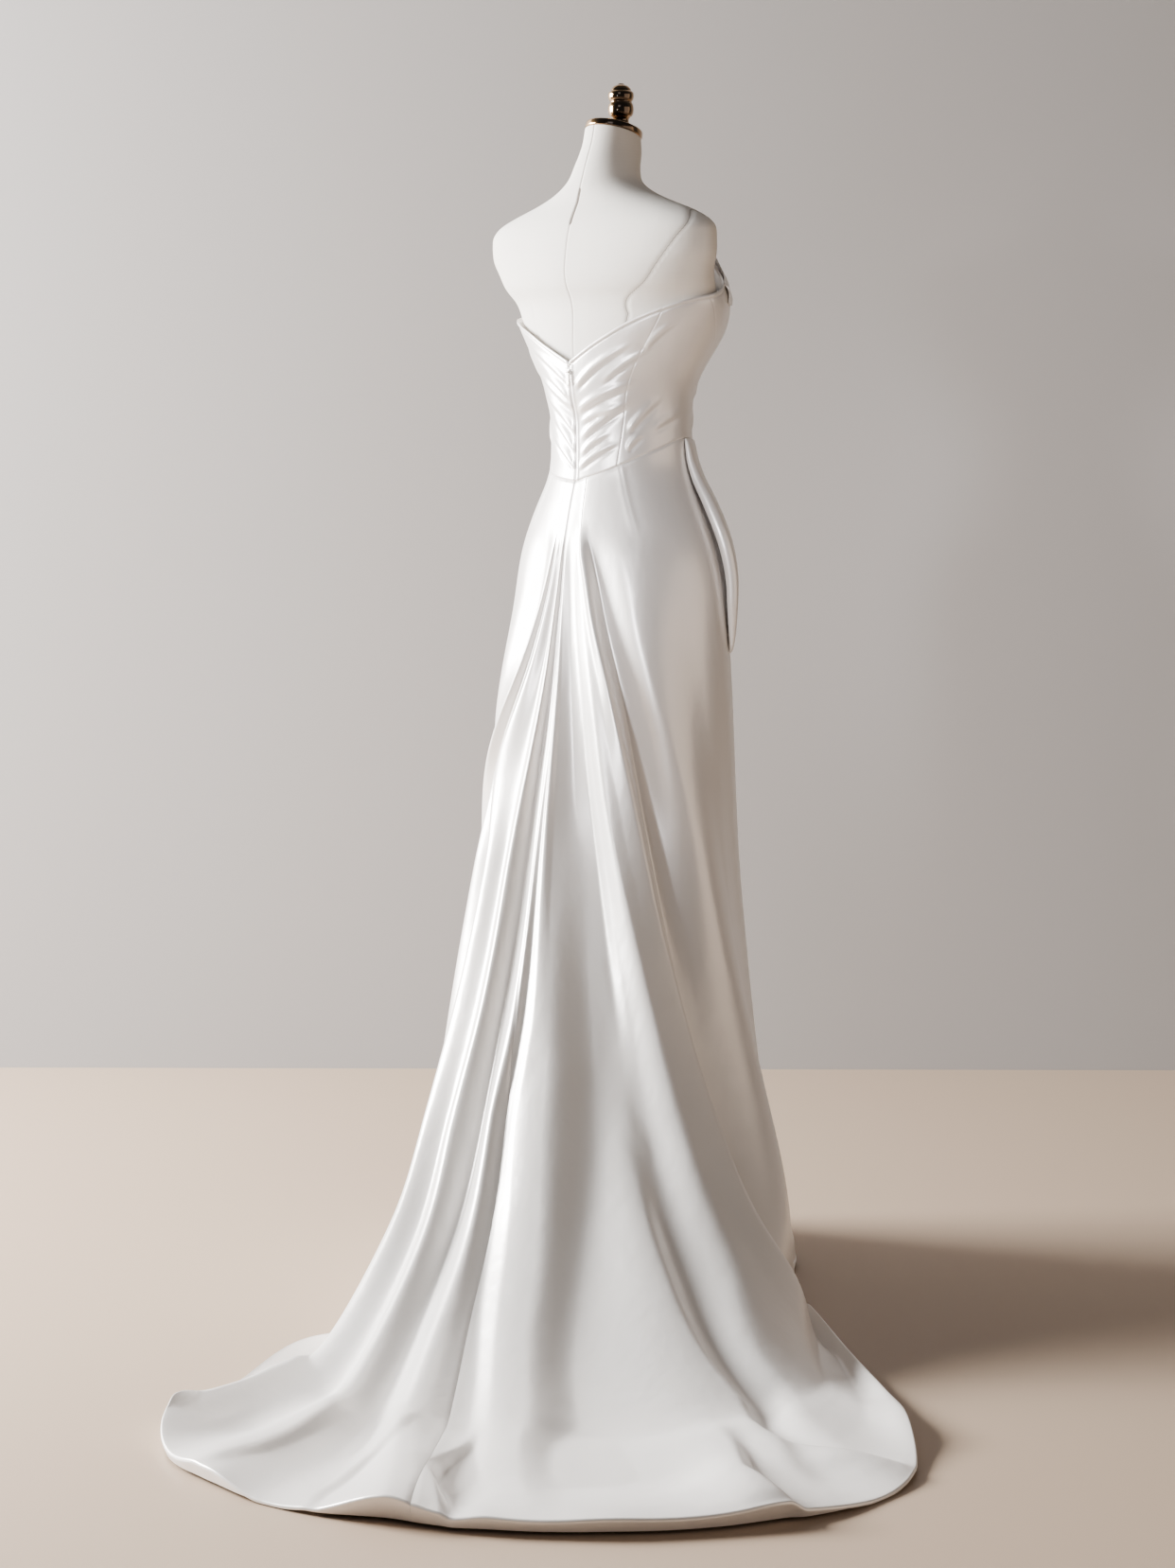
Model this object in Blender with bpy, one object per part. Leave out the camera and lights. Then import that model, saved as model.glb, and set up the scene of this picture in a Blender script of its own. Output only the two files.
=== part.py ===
"""Strapless satin gown with a sweep train, on a limbless dress form.

Metres, +Z up. The origin is on the floor, under the middle of the form's pole. The wearer's
back faces +Y and the wearer's right is -X. Each cloth piece is a closed wall on a surface that
is worked out from the ring tables below: a ring is one level outline of the gown or the form.
"""

import math
from collections import namedtuple

import bmesh
import bpy
import numpy as np
from mathutils import Matrix, Vector

MM = 0.001

# Cloth
SEAM_GAP = 0.3 * MM          # between neighbouring pieces
SKIRT_CLOTH = 1.6 * MM       # heavy satin with its backing
BODICE_CLOTH = 2.0 * MM      # satin over boned backing
LEFT_DROP = 20 * MM          # the gown sits this much lower at the wearer's left side

# Columns where the panels meet, as a share of the way from centre back (0) to centre front (1)
BACK_PRINCESS = 0.19
SIDE_SEAM = 0.56
FAN = 0.5                    # columns up to here belong to the train's fan of pleats

# Numbers of quads
FAN_COLUMNS = 20             # each side
SIDE_COLUMNS = 7             # pleat edge to side seam, each side
FRONT_COLUMNS = 9            # side seam to centre front, each side
HANGING_ROWS = 18
FLOOR_ROWS = 7
ROW_CROWDING = 0.45          # rows lie this much closer together at the hip and the floor
BODICE_BACK_COLUMNS = 5
BODICE_SIDE_COLUMNS = 7
BODICE_FRONT_COLUMNS = 10    # side seam to centre front
BODICE_ROWS = 9

# Points along each part of a half outline
END_POINTS = 25
SIDE_POINTS = 17

# A level outline of the gown. The front half is an ellipse round the middle, and the back half
# one round a second middle, which lies further out along the train.
Ring = namedtuple("Ring", "height side tail front back reach turn centre")
GOWN = [
    Ring(0.012, 0.254, 0.318, 0.240, 0.200, 0.560, 36, 0.000),
    Ring(0.035, 0.249, 0.302, 0.236, 0.195, 0.500, 36, 0.000),
    Ring(0.080, 0.238, 0.285, 0.228, 0.190, 0.410, 36, 0.000),
    Ring(0.160, 0.222, 0.262, 0.214, 0.185, 0.290, 36, 0.000),
    Ring(0.290, 0.202, 0.230, 0.188, 0.175, 0.180, 34, 0.000),
    Ring(0.470, 0.184, 0.196, 0.154, 0.160, 0.090, 28, 0.000),
    Ring(0.660, 0.174, 0.177, 0.130, 0.146, 0.040, 18, 0.000),
    Ring(0.870, 0.173, 0.173, 0.120, 0.134, 0.010, 7, 0.000),
    Ring(0.980, 0.171, 0.171, 0.118, 0.123, 0.000, 0, -0.002),
    Ring(1.050, 0.158, 0.158, 0.114, 0.116, 0.000, 0, -0.003),
    Ring(1.100, 0.136, 0.136, 0.102, 0.107, 0.000, 0, -0.004),
    Ring(1.140, 0.115, 0.115, 0.092, 0.097, 0.000, 0, -0.005),
    Ring(1.175, 0.106, 0.106, 0.090, 0.094, 0.000, 0, -0.004),
    Ring(1.225, 0.105, 0.105, 0.092, 0.093, 0.000, 0, -0.002),
    Ring(1.260, 0.109, 0.109, 0.098, 0.099, 0.000, 0, 0.001),
    Ring(1.285, 0.119, 0.119, 0.101, 0.102, 0.000, 0, 0.001),
    Ring(1.310, 0.137, 0.137, 0.102, 0.103, 0.000, 0, 0.001),
    Ring(1.340, 0.158, 0.158, 0.110, 0.103, 0.000, 0, 0.002),
    Ring(1.365, 0.174, 0.174, 0.112, 0.101, 0.000, 0, 0.003),
    Ring(1.390, 0.182, 0.182, 0.106, 0.099, 0.000, 0, 0.004),
    Ring(1.410, 0.177, 0.177, 0.096, 0.097, 0.000, 0, 0.005),
    Ring(1.450, 0.156, 0.156, 0.081, 0.094, 0.000, 0, 0.006),
    Ring(1.480, 0.148, 0.148, 0.074, 0.092, 0.000, 0, 0.006),
]
HEM = Ring(0.0, 0.258, 0.450, 0.250, 0.270, 0.820, 36, 0.000)

# How soon the train narrows from its end towards the body on each side: 1 is evenly
RIGHT_NARROWING = 0.90
LEFT_NARROWING = 0.70

# The cloth leaves the fall for the floor at the lowest ring's height behind, and higher in front
FRONT_BREAK = 0.060
TRAIN_END = 0.86             # column past which nothing lies on the floor
TRAIN_EASE = 0.30            # columns over which that comes about
BREAK_CURVE = 1.5            # how sharply the cloth turns on to the floor

# How the fan of pleats opens: the share of each half outline that the fan takes, and how far
# the centre back seam lies to the left of the train's middle.
Opening = namedtuple("Opening", "height right left shift")
OPENING = [
    Opening(0.012, 0.560, 0.580, -0.120),
    Opening(0.080, 0.450, 0.540, -0.125),
    Opening(0.160, 0.365, 0.520, -0.120),
    Opening(0.290, 0.320, 0.500, -0.105),
    Opening(0.470, 0.285, 0.460, -0.075),
    Opening(0.660, 0.240, 0.380, -0.040),
    Opening(0.870, 0.160, 0.140, -0.008),
    Opening(1.000, 0.100, 0.060, 0.000),
    Opening(1.080, 0.060, 0.045, 0.000),
    Opening(1.130, 0.060, 0.060, 0.000),
    Opening(1.220, 0.060, 0.060, 0.000),
]
HEM_OPENING = Opening(0.0, 0.665, 0.640, -0.100)

# The train's folds: place across the fan, from the left pleat edge (-1) past centre back (0)
# to the right pleat edge (1), and how far each ridge stands out or each valley lies back.
Fold = namedtuple("Fold", "place rise")
FAN_FOLDS = [
    Fold(-1.12, 0.000),
    Fold(-1.05, -0.009),
    Fold(-1.00, 0.013),
    Fold(-0.88, -0.006),
    Fold(-0.74, 0.010),
    Fold(-0.62, -0.009),
    Fold(-0.48, 0.009),
    Fold(-0.36, -0.008),
    Fold(-0.24, 0.013),
    Fold(-0.10, -0.007),
    Fold(0.02, 0.006),
    Fold(0.16, -0.005),
    Fold(0.30, 0.006),
    Fold(0.44, -0.009),
    Fold(0.62, 0.012),
    Fold(0.80, -0.006),
    Fold(0.90, 0.006),
    Fold(1.00, 0.022),
    Fold(1.06, -0.012),
    Fold(1.16, -0.004),
    Fold(1.32, 0.000),
]
Depth = namedtuple("Depth", "height share")
FOLD_DEPTH = [
    Depth(0.000, 0.70),
    Depth(0.080, 0.90),
    Depth(0.300, 1.10),
    Depth(0.600, 0.95),
    Depth(0.800, 0.62),
    Depth(0.950, 0.30),
    Depth(1.050, 0.10),
    Depth(1.085, 0.00),
    Depth(1.220, 0.00),
]
HEM_FOLD_DEPTH = 0.12

# Where the cloth on the floor stands up: place in columns (-1 to 1), place from the break (0)
# to the hem (1), height, and the reach of the rise both ways
Puddle = namedtuple("Puddle", "column row rise wide deep")
PUDDLES = [
    Puddle(-0.24, 0.98, 0.026, 0.040, 0.40),
    Puddle(-0.12, 0.30, 0.028, 0.025, 0.35),
    Puddle(-0.05, 1.00, 0.016, 0.045, 0.35),
    Puddle(0.17, 0.45, 0.030, 0.030, 0.35),
    Puddle(0.24, 1.00, 0.022, 0.040, 0.40),
    Puddle(0.33, 0.70, 0.026, 0.030, 0.50),
]

PUDDLE_START = 3             # they reach their full height a third of the way out

# Seam and edge heights round the gown, by share from centre back (0) to centre front (1)
Edge = namedtuple("Edge", "share height")
WAIST_SEAM = [
    Edge(0.00, 1.139),
    Edge(0.18, 1.157),
    Edge(0.38, 1.183),
    Edge(0.56, 1.199),
    Edge(0.75, 1.194),
    Edge(1.00, 1.176),
]
NECKLINE = [
    Edge(0.00, 1.304),
    Edge(0.14, 1.338),
    Edge(0.25, 1.364),
    Edge(0.38, 1.385),
    Edge(0.52, 1.400),
    Edge(0.62, 1.424),
    Edge(0.70, 1.456),
    Edge(0.78, 1.436),
    Edge(0.90, 1.394),
    Edge(1.00, 1.376),
]

# How the bodice's seams slant: the share at which each lies, by place from waist (0) to neck (1)
Slant = namedtuple("Slant", "place princess side")
SLANTS = [
    Slant(0.00, 0.205, 0.635),
    Slant(0.25, 0.236, 0.636),
    Slant(0.45, 0.255, 0.620),
    Slant(0.60, 0.270, 0.590),
    Slant(0.80, 0.298, 0.515),
    Slant(1.00, 0.325, 0.465),
]

# Bust cups: share, height, how far they stand out, and their reach round and up
CUP_SHARE = 0.78
CUP_HEIGHT = 1.350
CUP_RISE = 0.012
CUP_WIDE = 0.13
CUP_TALL = 0.048
NECK_STAND = 0.004           # the front edge stands this far off the form
STAND_SHARE = 0.50           # from this share round
STAND_SHARE_EASE = 0.20
STAND_HEIGHT = 1.37          # and from this height up
STAND_HEIGHT_EASE = 0.08

# Folded petal cuff at the top of each cup
CUFF_ROWS = 5
CUFF_DROP = 0.062            # widest depth below the neckline
CUFF_TIP = 0.006             # how far the fold's point rises past the panel's edge
CUFF_CLEAR = 1.7 * MM        # its wall's gap from the panel's wall
CUFF_STAND = 0.004           # how much further its top edge stands off
CUFF_ENDS = 0.08             # its ends keep this share of a half wave
CUFF_FULLNESS = 0.7          # under 1 makes the petal fuller towards its ends

# Draped pleat at each hip
DRAPE_COLUMNS = 7            # of the skirt front's columns, from the side seam
DRAPE_ROWS = 14
DRAPE_LOW = 0.900            # where its open edge ends
DRAPE_SLANT = 0.100          # its front edge ends this much higher
DRAPE_STAND = 0.020
DRAPE_FULLNESS = 0.6         # under 1 makes it stand off sooner from its ends
DRAPE_CLOSING = 1.2          # over 1 makes it lie closer towards its front edge

# Zip down the centre back
ZIP_TOP = 1.298
ZIP_END = 1.099
ZIP_STEP = 4 * MM            # the slider lies along the cloth over this far each way
TAPE_WIDE = 12 * MM
TAPE_THICK = 0.6 * MM
TAPE_ROWS = 16
TAPE_COLUMNS = 2
SLIDER_HEIGHT = 1.291
SLIDER_WIDE = 4.6 * MM
SLIDER_THICK = 2.4 * MM
SLIDER_TALL = 8 * MM
SLIDER_ROUND = 0.5 * MM
EAR_ROOT = 0.4 * MM          # how deep the ears start in the slider
PIN_RADIUS = 0.5 * MM
PIN_CLEARANCE = 0.3 * MM
PIN_STAND = 3.0 * MM         # pin's axis from the middle of the slider
KNUCKLE_RADIUS = 1.5 * MM
KNUCKLE_WIDE = 2.0 * MM
EAR_RADIUS = 1.4 * MM
EAR_THICK = 0.9 * MM
PULL_LONG = 19 * MM
PULL_WIDE = 4.6 * MM
PULL_THICK = 1.2 * MM
PULL_ROUND = 1.4 * MM
NECK_START = 0.9 * MM        # the pull's neck starts this far below its pin
NECK_LONG = 2.6 * MM
INSET = 0.98                 # joined pieces stay this much smaller, so that no faces coincide

# Hook and eye above the zip
HOOK_HEIGHT = 1.3005
HOOK_WIRE = 0.4 * MM
EYE_RADIUS = 1.1 * MM
HOOK_LONG = 4.2 * MM
EYE_LEG = 2.4 * MM
HOOK_RISE = 2.2 * MM         # the bill starts to climb this far before the eye
HOOK_CLIMB = 1.4 * MM

# Dress form
Torso = namedtuple("Torso", "height side back_y front_y centre")
FORM = [
    Torso(0.870, 0.160, 0.112, -0.108, 0.000),
    Torso(0.980, 0.163, 0.113, -0.111, 0.000),
    Torso(1.050, 0.150, 0.105, -0.109, -0.003),
    Torso(1.100, 0.128, 0.095, -0.098, -0.004),
    Torso(1.140, 0.107, 0.084, -0.089, -0.005),
    Torso(1.175, 0.1038, 0.0850, -0.0910, -0.004),
    Torso(1.225, 0.1028, 0.0860, -0.0910, -0.002),
    Torso(1.260, 0.101, 0.092, -0.089, 0.001),
    Torso(1.285, 0.111, 0.095, -0.092, 0.001),
    Torso(1.310, 0.131, 0.096, -0.096, 0.001),
    Torso(1.340, 0.151, 0.097, -0.100, 0.002),
    Torso(1.365, 0.167, 0.097, -0.098, 0.003),
    Torso(1.390, 0.174, 0.101, -0.085, 0.012),
    Torso(1.410, 0.184, 0.111, -0.066, 0.027),
    Torso(1.430, 0.192, 0.114, -0.048, 0.034),
    Torso(1.452, 0.203, 0.112, -0.039, 0.038),
    Torso(1.480, 0.205, 0.107, -0.035, 0.040),
    Torso(1.498, 0.189, 0.101, -0.033, 0.039),
    Torso(1.510, 0.160, 0.095, -0.032, 0.037),
    Torso(1.522, 0.123, 0.089, -0.028, 0.035),
    Torso(1.535, 0.088, 0.085, -0.020, 0.034),
    Torso(1.552, 0.060, 0.080, -0.011, 0.032),
    Torso(1.572, 0.049, 0.072, -0.014, 0.026),
    Torso(1.600, 0.0425, 0.059, -0.021, 0.016),
    Torso(1.620, 0.0400, 0.054, -0.022, 0.016),
]
FORM_SIDES = 40
Band = namedtuple("Band", "top rows")
FORM_BANDS = [Band(1.400, 15), Band(1.545, 13), Band(1.620, 5)]
NECK_BASE = 1.56             # the neck's rings tilt from here up
NECK_TILT = 16               # degrees: the neck's top is lower at the front
CAP_RADIUS = 41 * MM
CAP_THICK = 10 * MM
CAP_ROUND = 3 * MM
Turned = namedtuple("Turned", "radius height")
FINIAL = [
    Turned(0.0150, 0.0000),
    Turned(0.0145, 0.0040),
    Turned(0.0120, 0.0100),
    Turned(0.0112, 0.0145),
    Turned(0.0130, 0.0180),
    Turned(0.0160, 0.0205),
    Turned(0.0178, 0.0255),
    Turned(0.0181, 0.0310),
    Turned(0.0170, 0.0365),
    Turned(0.0155, 0.0395),
    Turned(0.0172, 0.0425),
    Turned(0.0183, 0.0470),
    Turned(0.0178, 0.0520),
    Turned(0.0148, 0.0550),
    Turned(0.0138, 0.0575),
    Turned(0.0105, 0.0612),
    Turned(0.0050, 0.0636),
]
FINIAL_FOOT = 14 * MM        # the finial's rings follow the cap's slant up to here
POLE_RADIUS = 14 * MM
BASE_RADIUS = 0.16
BASE_THICK = 12 * MM
BASE_ROUND = 3 * MM
HUB_RADIUS = 26 * MM
HUB_TALL = 40 * MM


def clear_scene():
    for thing in list(bpy.data.objects):
        bpy.data.objects.remove(thing, do_unlink=True)


def material(name, colour, roughness, metallic=0.0):
    """A plain material with a colour, a roughness and a metallic value."""
    mat = bpy.data.materials.new(name)
    mat.use_nodes = True
    shader = mat.node_tree.nodes["Principled BSDF"]
    shader.inputs["Base Color"].default_value = (*colour, 1.0)
    shader.inputs["Roughness"].default_value = roughness
    shader.inputs["Metallic"].default_value = metallic
    mat.diffuse_color = (*colour, 1.0)
    return mat


def smooth_curve(xs, ys, x):
    """Values at x of a smooth curve through the points, which never overshoots between them."""
    xs = np.asarray(xs, float)
    ys = np.asarray(ys, float)
    step = np.diff(xs)
    slope = np.diff(ys) / step
    tangent = np.concatenate([slope[:1], (slope[:-1] + slope[1:]) / 2, slope[-1:]])
    flat = slope[:-1] * slope[1:] <= 0
    tangent[1:-1][flat] = 0
    limit = 3 * np.minimum(np.abs(np.append(slope, slope[-1])), np.abs(np.insert(slope, 0, slope[0])))
    tangent = np.clip(tangent, -limit, limit)
    x = np.clip(x, xs[0], xs[-1])
    i = np.clip(np.searchsorted(xs, x, side="right") - 1, 0, len(step) - 1)
    t = (x - xs[i]) / step[i]
    rise = (2 * t**3 - 3 * t**2 + 1) * ys[i] + (3 * t**2 - 2 * t**3) * ys[i + 1]
    lean = (t**3 - 2 * t**2 + t) * tangent[i] + (t**3 - t**2) * tangent[i + 1]
    return rise + lean * step[i]


def column(table, name):
    """One named column of a table."""
    return [getattr(row, name) for row in table]


def read(table, key, name, at):
    """A column of a table as a smooth curve of its key column."""
    return smooth_curve(column(table, key), column(table, name), at)


def smooth_step(t):
    t = np.clip(t, 0, 1)
    return 3 * t**2 - 2 * t**3


def half_outline(ring, narrowing):
    """Dense half outlines, one a row, from the train's end round to the front.

    Gives the places across and along the train, and the length run up to each place.
    """
    angle = np.linspace(0, math.pi / 2, END_POINTS)
    tail, side, reach = (ring[name][:, None] for name in ("tail", "side", "reach"))
    end = (tail * np.sin(angle), reach + ring["back"][:, None] * np.cos(angle))
    t = np.linspace(0, 1, SIDE_POINTS)[1:-1]
    ease = smooth_step(t**narrowing)
    flank = (tail * (1 - ease) + side * ease, reach * (1 - t))
    front = (side * np.cos(angle), -ring["front"][:, None] * np.sin(angle))
    across, along = (np.concatenate(parts, axis=1) for parts in zip(end, flank, front))
    length = np.hypot(np.diff(across, axis=1), np.diff(along, axis=1)).cumsum(axis=1)
    length = np.concatenate([np.zeros((len(across), 1)), length], axis=1)
    return across, along, length


def outline_points(ring, share, shift):
    """Points at a share of the way round: 0 at centre back, 1 at centre front by the right."""
    right = half_outline(ring, RIGHT_NARROWING)
    left = half_outline(ring, LEFT_NARROWING)
    right_run = shift + share * (right[2][:, -1] - shift)
    left_run = shift + share * (left[2][:, -1] + shift)
    return points_along(ring, np.where(share >= 0, right_run, left_run), right, left)


def points_along(ring, run, right, left):
    """Points at a length run from the train's end, towards the wearer's right where positive."""
    places = []
    for row, far in enumerate(run):
        across, along, length = right if far >= 0 else left
        hand = 1 if far >= 0 else -1
        places.append(
            (
                hand * np.interp(abs(far), length[row], across[row]),
                np.interp(abs(far), length[row], along[row]),
            )
        )
    across, along = np.array(places).T
    turn = np.radians(ring["turn"])
    x = -np.cos(turn) * across - np.sin(turn) * along
    y = -np.sin(turn) * across + np.cos(turn) * along + ring["centre"]
    return x, y


def gown_ring(height):
    """The gown's outline at each height."""
    return {name: read(GOWN, "height", name, height) for name in Ring._fields[1:]}


def blended(ring, other, share):
    """An outline part of the way from one ring to another."""
    return {
        name: ring[name] * (1 - share) + getattr(other, name) * share
        for name in Ring._fields[1:]
    }


def left_drop(share):
    """How much lower the gown sits, on the left only."""
    return np.where(share < 0, LEFT_DROP * np.sin(math.pi * np.abs(share)), 0.0)


def waist_height(share):
    return read(WAIST_SEAM, "share", "height", np.abs(share)) - left_drop(share)


def neck_height(share):
    return read(NECKLINE, "share", "height", np.abs(share)) - left_drop(share)


def fan_share(col, right, left):
    """Share of the way round for a column: the fan's columns crowd together at its top."""
    size = np.abs(col)
    fan = np.where(col >= 0, right, left)
    inside = fan * size / FAN
    outside = fan + (1 - fan) * (size - FAN) / (1 - FAN)
    return np.sign(col) * np.where(size <= FAN, inside, outside)


def fold_rise(col):
    """How far each column's fold stands out at full depth."""
    return read(FAN_FOLDS, "place", "rise", col / FAN)


def on_floor_side(col):
    """1 at the train, 0 at the front, where the hem only touches the floor."""
    return smooth_step((TRAIN_END - np.abs(col)) / TRAIN_EASE)


def break_height(col):
    """Height at which the hanging cloth turns on to the floor."""
    return GOWN[0].height + (FRONT_BREAK - GOWN[0].height) * (1 - on_floor_side(col))


def skirt_columns():
    """Columns from centre front round the left, by the train (0), to centre front again."""
    fan = np.linspace(0, FAN, FAN_COLUMNS + 1)
    side = np.linspace(FAN, skirt_seam(), SIDE_COLUMNS + 1)[1:]
    front = np.linspace(skirt_seam(), 1, FRONT_COLUMNS + 1)[1:]
    half = np.concatenate([fan, side, front])
    return np.concatenate([-half[::-1], half[1:]])


def skirt_seam():
    """The column of the side seam, which lies at a share of SIDE_SEAM at the waist."""
    top = OPENING[-1].right
    return FAN + (SIDE_SEAM - top) / (1 - top) * (1 - FAN)


def hanging_rows():
    """Row places from the waist seam (0) to where the train meets the floor (1)."""
    t = np.linspace(0, 1, HANGING_ROWS + 1)
    return t - ROW_CROWDING * np.sin(2 * math.pi * t) / (2 * math.pi)


def skirt_grid():
    """Middle surface of the skirt and train: rows from the waist seam down to the hem."""
    cols = skirt_columns()
    rows = []
    for place in hanging_rows():
        rows.append(hanging_row(cols, place))
    for place in np.linspace(0, 1, FLOOR_ROWS + 1)[1:]:
        rows.append(floor_row(cols, place))
    grid = np.array([row[0] for row in rows])
    rise = np.array([row[1] for row in rows])
    lift = np.array([row[2] for row in rows])
    out = grid_normals(grid)
    grid = grid + out * rise[..., None]
    grid[..., 2] += lift
    lowest = SKIRT_CLOTH / 2 * on_floor_side(cols)[None, :]
    grid[..., 2] = np.maximum(grid[..., 2], lowest)
    return cols, grid, grid_normals(grid)


def hanging_row(cols, place):
    """One row of the fall: its points, the rise of its folds, and no lift."""
    low = break_height(cols)
    top = OPENING[-1]
    share = fan_share(cols, top.right, top.left)
    height = waist_height(share) * (1 - place) + low * place
    right = read(OPENING, "height", "right", height)
    left = read(OPENING, "height", "left", height)
    shift = read(OPENING, "height", "shift", height)
    share = fan_share(cols, right, left)
    x, y = outline_points(gown_ring(height), share, shift)
    depth = read(FOLD_DEPTH, "height", "share", height)
    return np.stack([x, y, height], -1), depth * fold_rise(cols), np.zeros(len(cols))


def floor_row(cols, place):
    """One row of the cloth on the floor: its points, the rise of its folds, and its lift."""
    low = break_height(cols)
    ring = blended(gown_ring(low), HEM, np.full(len(cols), place))
    right = read(OPENING, "height", "right", low)
    left = read(OPENING, "height", "left", low)
    shift = read(OPENING, "height", "shift", low)
    right = right * (1 - place) + HEM_OPENING.right * place
    left = left * (1 - place) + HEM_OPENING.left * place
    shift = shift * (1 - place) + HEM_OPENING.shift * place
    x, y = outline_points(ring, fan_share(cols, right, left), shift)
    height = low * (1 - place) ** BREAK_CURVE
    depth = FOLD_DEPTH[0].share * (1 - place) + HEM_FOLD_DEPTH * place
    return np.stack([x, y, height], -1), depth * fold_rise(cols), puddle_lift(cols, place)


def puddle_lift(cols, place):
    """How far the cloth on the floor stands up at one place between the break and the hem."""
    lift = np.zeros(len(cols))
    for p in PUDDLES:
        lift += p.rise * np.exp(-(((cols - p.column) / p.wide) ** 2) - ((place - p.row) / p.deep) ** 2)
    return lift * on_floor_side(cols) * min(1.0, place * PUDDLE_START)


def grid_normals(grid):
    """Outward normals of a ring grid whose first and last columns are the same points."""
    down = np.gradient(grid, axis=0)
    ring = grid[:, :-1]
    across = np.roll(ring, -1, axis=1) - np.roll(ring, 1, axis=1)
    across = np.concatenate([across, across[:, :1]], axis=1)
    out = np.cross(down, across)
    return out / np.linalg.norm(out, axis=-1, keepdims=True)


def level_normals(normals):
    """Level normals for a row at the waist seam, so that bodice and skirt meet squarely."""
    level = normals.copy()
    level[..., 2] = 0
    return level / np.linalg.norm(level, axis=-1, keepdims=True)


def trimmed(grid):
    """Moves the outer columns in by half a seam gap."""
    grid = grid.copy()
    for edge, inner in ((0, 1), (-1, -2)):
        step = grid[:, inner] - grid[:, edge]
        grid[:, edge] += step / np.linalg.norm(step, axis=-1, keepdims=True) * SEAM_GAP / 2
    return grid


def build_panels(names, seams, cols, grid, normals, thick, mat):
    """Walls between the seams' columns: the last name takes what lies past the outer seams."""
    near = 1e-9
    for name, low, high in zip(names, seams[:-1], seams[1:]):
        keep = (cols >= low - near) & (cols <= high + near)
        wall(name, trimmed(grid[:, keep]), normals[:, keep], thick, mat)
    right = np.nonzero(cols >= seams[-1] - near)[0]
    left = np.nonzero(cols <= seams[0] + near)[0]
    front = np.concatenate([right, left[1:]])
    wall(names[-1], trimmed(grid[:, front]), normals[:, front], thick, mat)


def wall(name, grid, normals, thick, mat):
    """A closed wall of one thickness round a middle surface."""
    outer = grid + normals * thick / 2
    inner = grid - normals * thick / 2
    inner[..., 2] = np.maximum(inner[..., 2], 0)
    outer[..., 2] = np.maximum(outer[..., 2], 0)
    rows, cols = grid.shape[:2]
    mesh = bmesh.new()
    a, b = ([[mesh.verts.new(point) for point in row] for row in skin] for skin in (outer, inner))
    for i in range(rows - 1):
        for j in range(cols - 1):
            mesh.faces.new((a[i][j], a[i + 1][j], a[i + 1][j + 1], a[i][j + 1]))
            mesh.faces.new((b[i][j], b[i][j + 1], b[i + 1][j + 1], b[i + 1][j]))
    for i in (0, rows - 1):
        for j in range(cols - 1):
            mesh.faces.new((a[i][j], a[i][j + 1], b[i][j + 1], b[i][j]))
    for j in (0, cols - 1):
        for i in range(rows - 1):
            mesh.faces.new((a[i][j], a[i + 1][j], b[i + 1][j], b[i][j]))
    return finish(name, mesh, mat)


def finish(name, mesh, mat, smooth=True):
    """Makes the object, with its faces pointing out."""
    bmesh.ops.recalc_face_normals(mesh, faces=mesh.faces)
    data = bpy.data.meshes.new(name)
    mesh.to_mesh(data)
    mesh.free()
    obj = bpy.data.objects.new(name, data)
    bpy.context.scene.collection.objects.link(obj)
    data.materials.append(mat)
    if smooth:
        data.shade_smooth()
        data.set_sharp_from_angle(angle=math.radians(40))
    return obj


def build_skirt(satin):
    cols, grid, normals = skirt_grid()
    normals[0] = level_normals(normals[0])
    grid[0, :, 2] -= SEAM_GAP / 2
    seam = skirt_seam()
    names = ("skirt_back_left", "skirt_back_right", "skirt_front")
    build_panels(names, (-seam, 0.0, seam), cols, grid, normals, SKIRT_CLOTH, satin)


def bodice_point(share, place):
    """Middle surface of the bodice, from the waist seam (0) up to the neckline (1)."""
    low = waist_height(share)
    high = neck_height(share)
    height = low * (1 - place) + high * place
    x, y = outline_points(gown_ring(height), share, np.zeros(len(share)))
    size = np.abs(share)
    cup = np.exp(-(((size - CUP_SHARE) / CUP_WIDE) ** 2) - ((height - CUP_HEIGHT) / CUP_TALL) ** 2)
    past_side = np.clip((size - STAND_SHARE) / STAND_SHARE_EASE, 0, 1)
    near_edge = np.clip((height - STAND_HEIGHT) / STAND_HEIGHT_EASE, 0, 1)
    out = CUP_RISE * cup + NECK_STAND * past_side * near_edge
    flat = np.stack([x, y - gown_ring(height)["centre"]], -1)
    flat /= np.linalg.norm(flat, axis=-1, keepdims=True)
    return np.stack([x + flat[:, 0] * out, y + flat[:, 1] * out, height], -1)


def bodice_columns():
    """Column shares with one on each seam."""
    back = np.linspace(0, BACK_PRINCESS, BODICE_BACK_COLUMNS + 1)
    side = np.linspace(BACK_PRINCESS, SIDE_SEAM, BODICE_SIDE_COLUMNS + 1)[1:]
    front = np.linspace(SIDE_SEAM, 1, BODICE_FRONT_COLUMNS + 1)[1:]
    half = np.concatenate([back, side, front])
    return np.concatenate([-half[::-1], half[1:]])


def slanted(cols, place):
    """Shares of the bodice's columns at a place between waist and neck, where its seams slant."""
    princess = read(SLANTS, "place", "princess", place)
    side = read(SLANTS, "place", "side", place)
    moved = np.interp(np.abs(cols), (0, BACK_PRINCESS, SIDE_SEAM, 1), (0, princess, side, 1))
    return np.sign(cols) * moved


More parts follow.
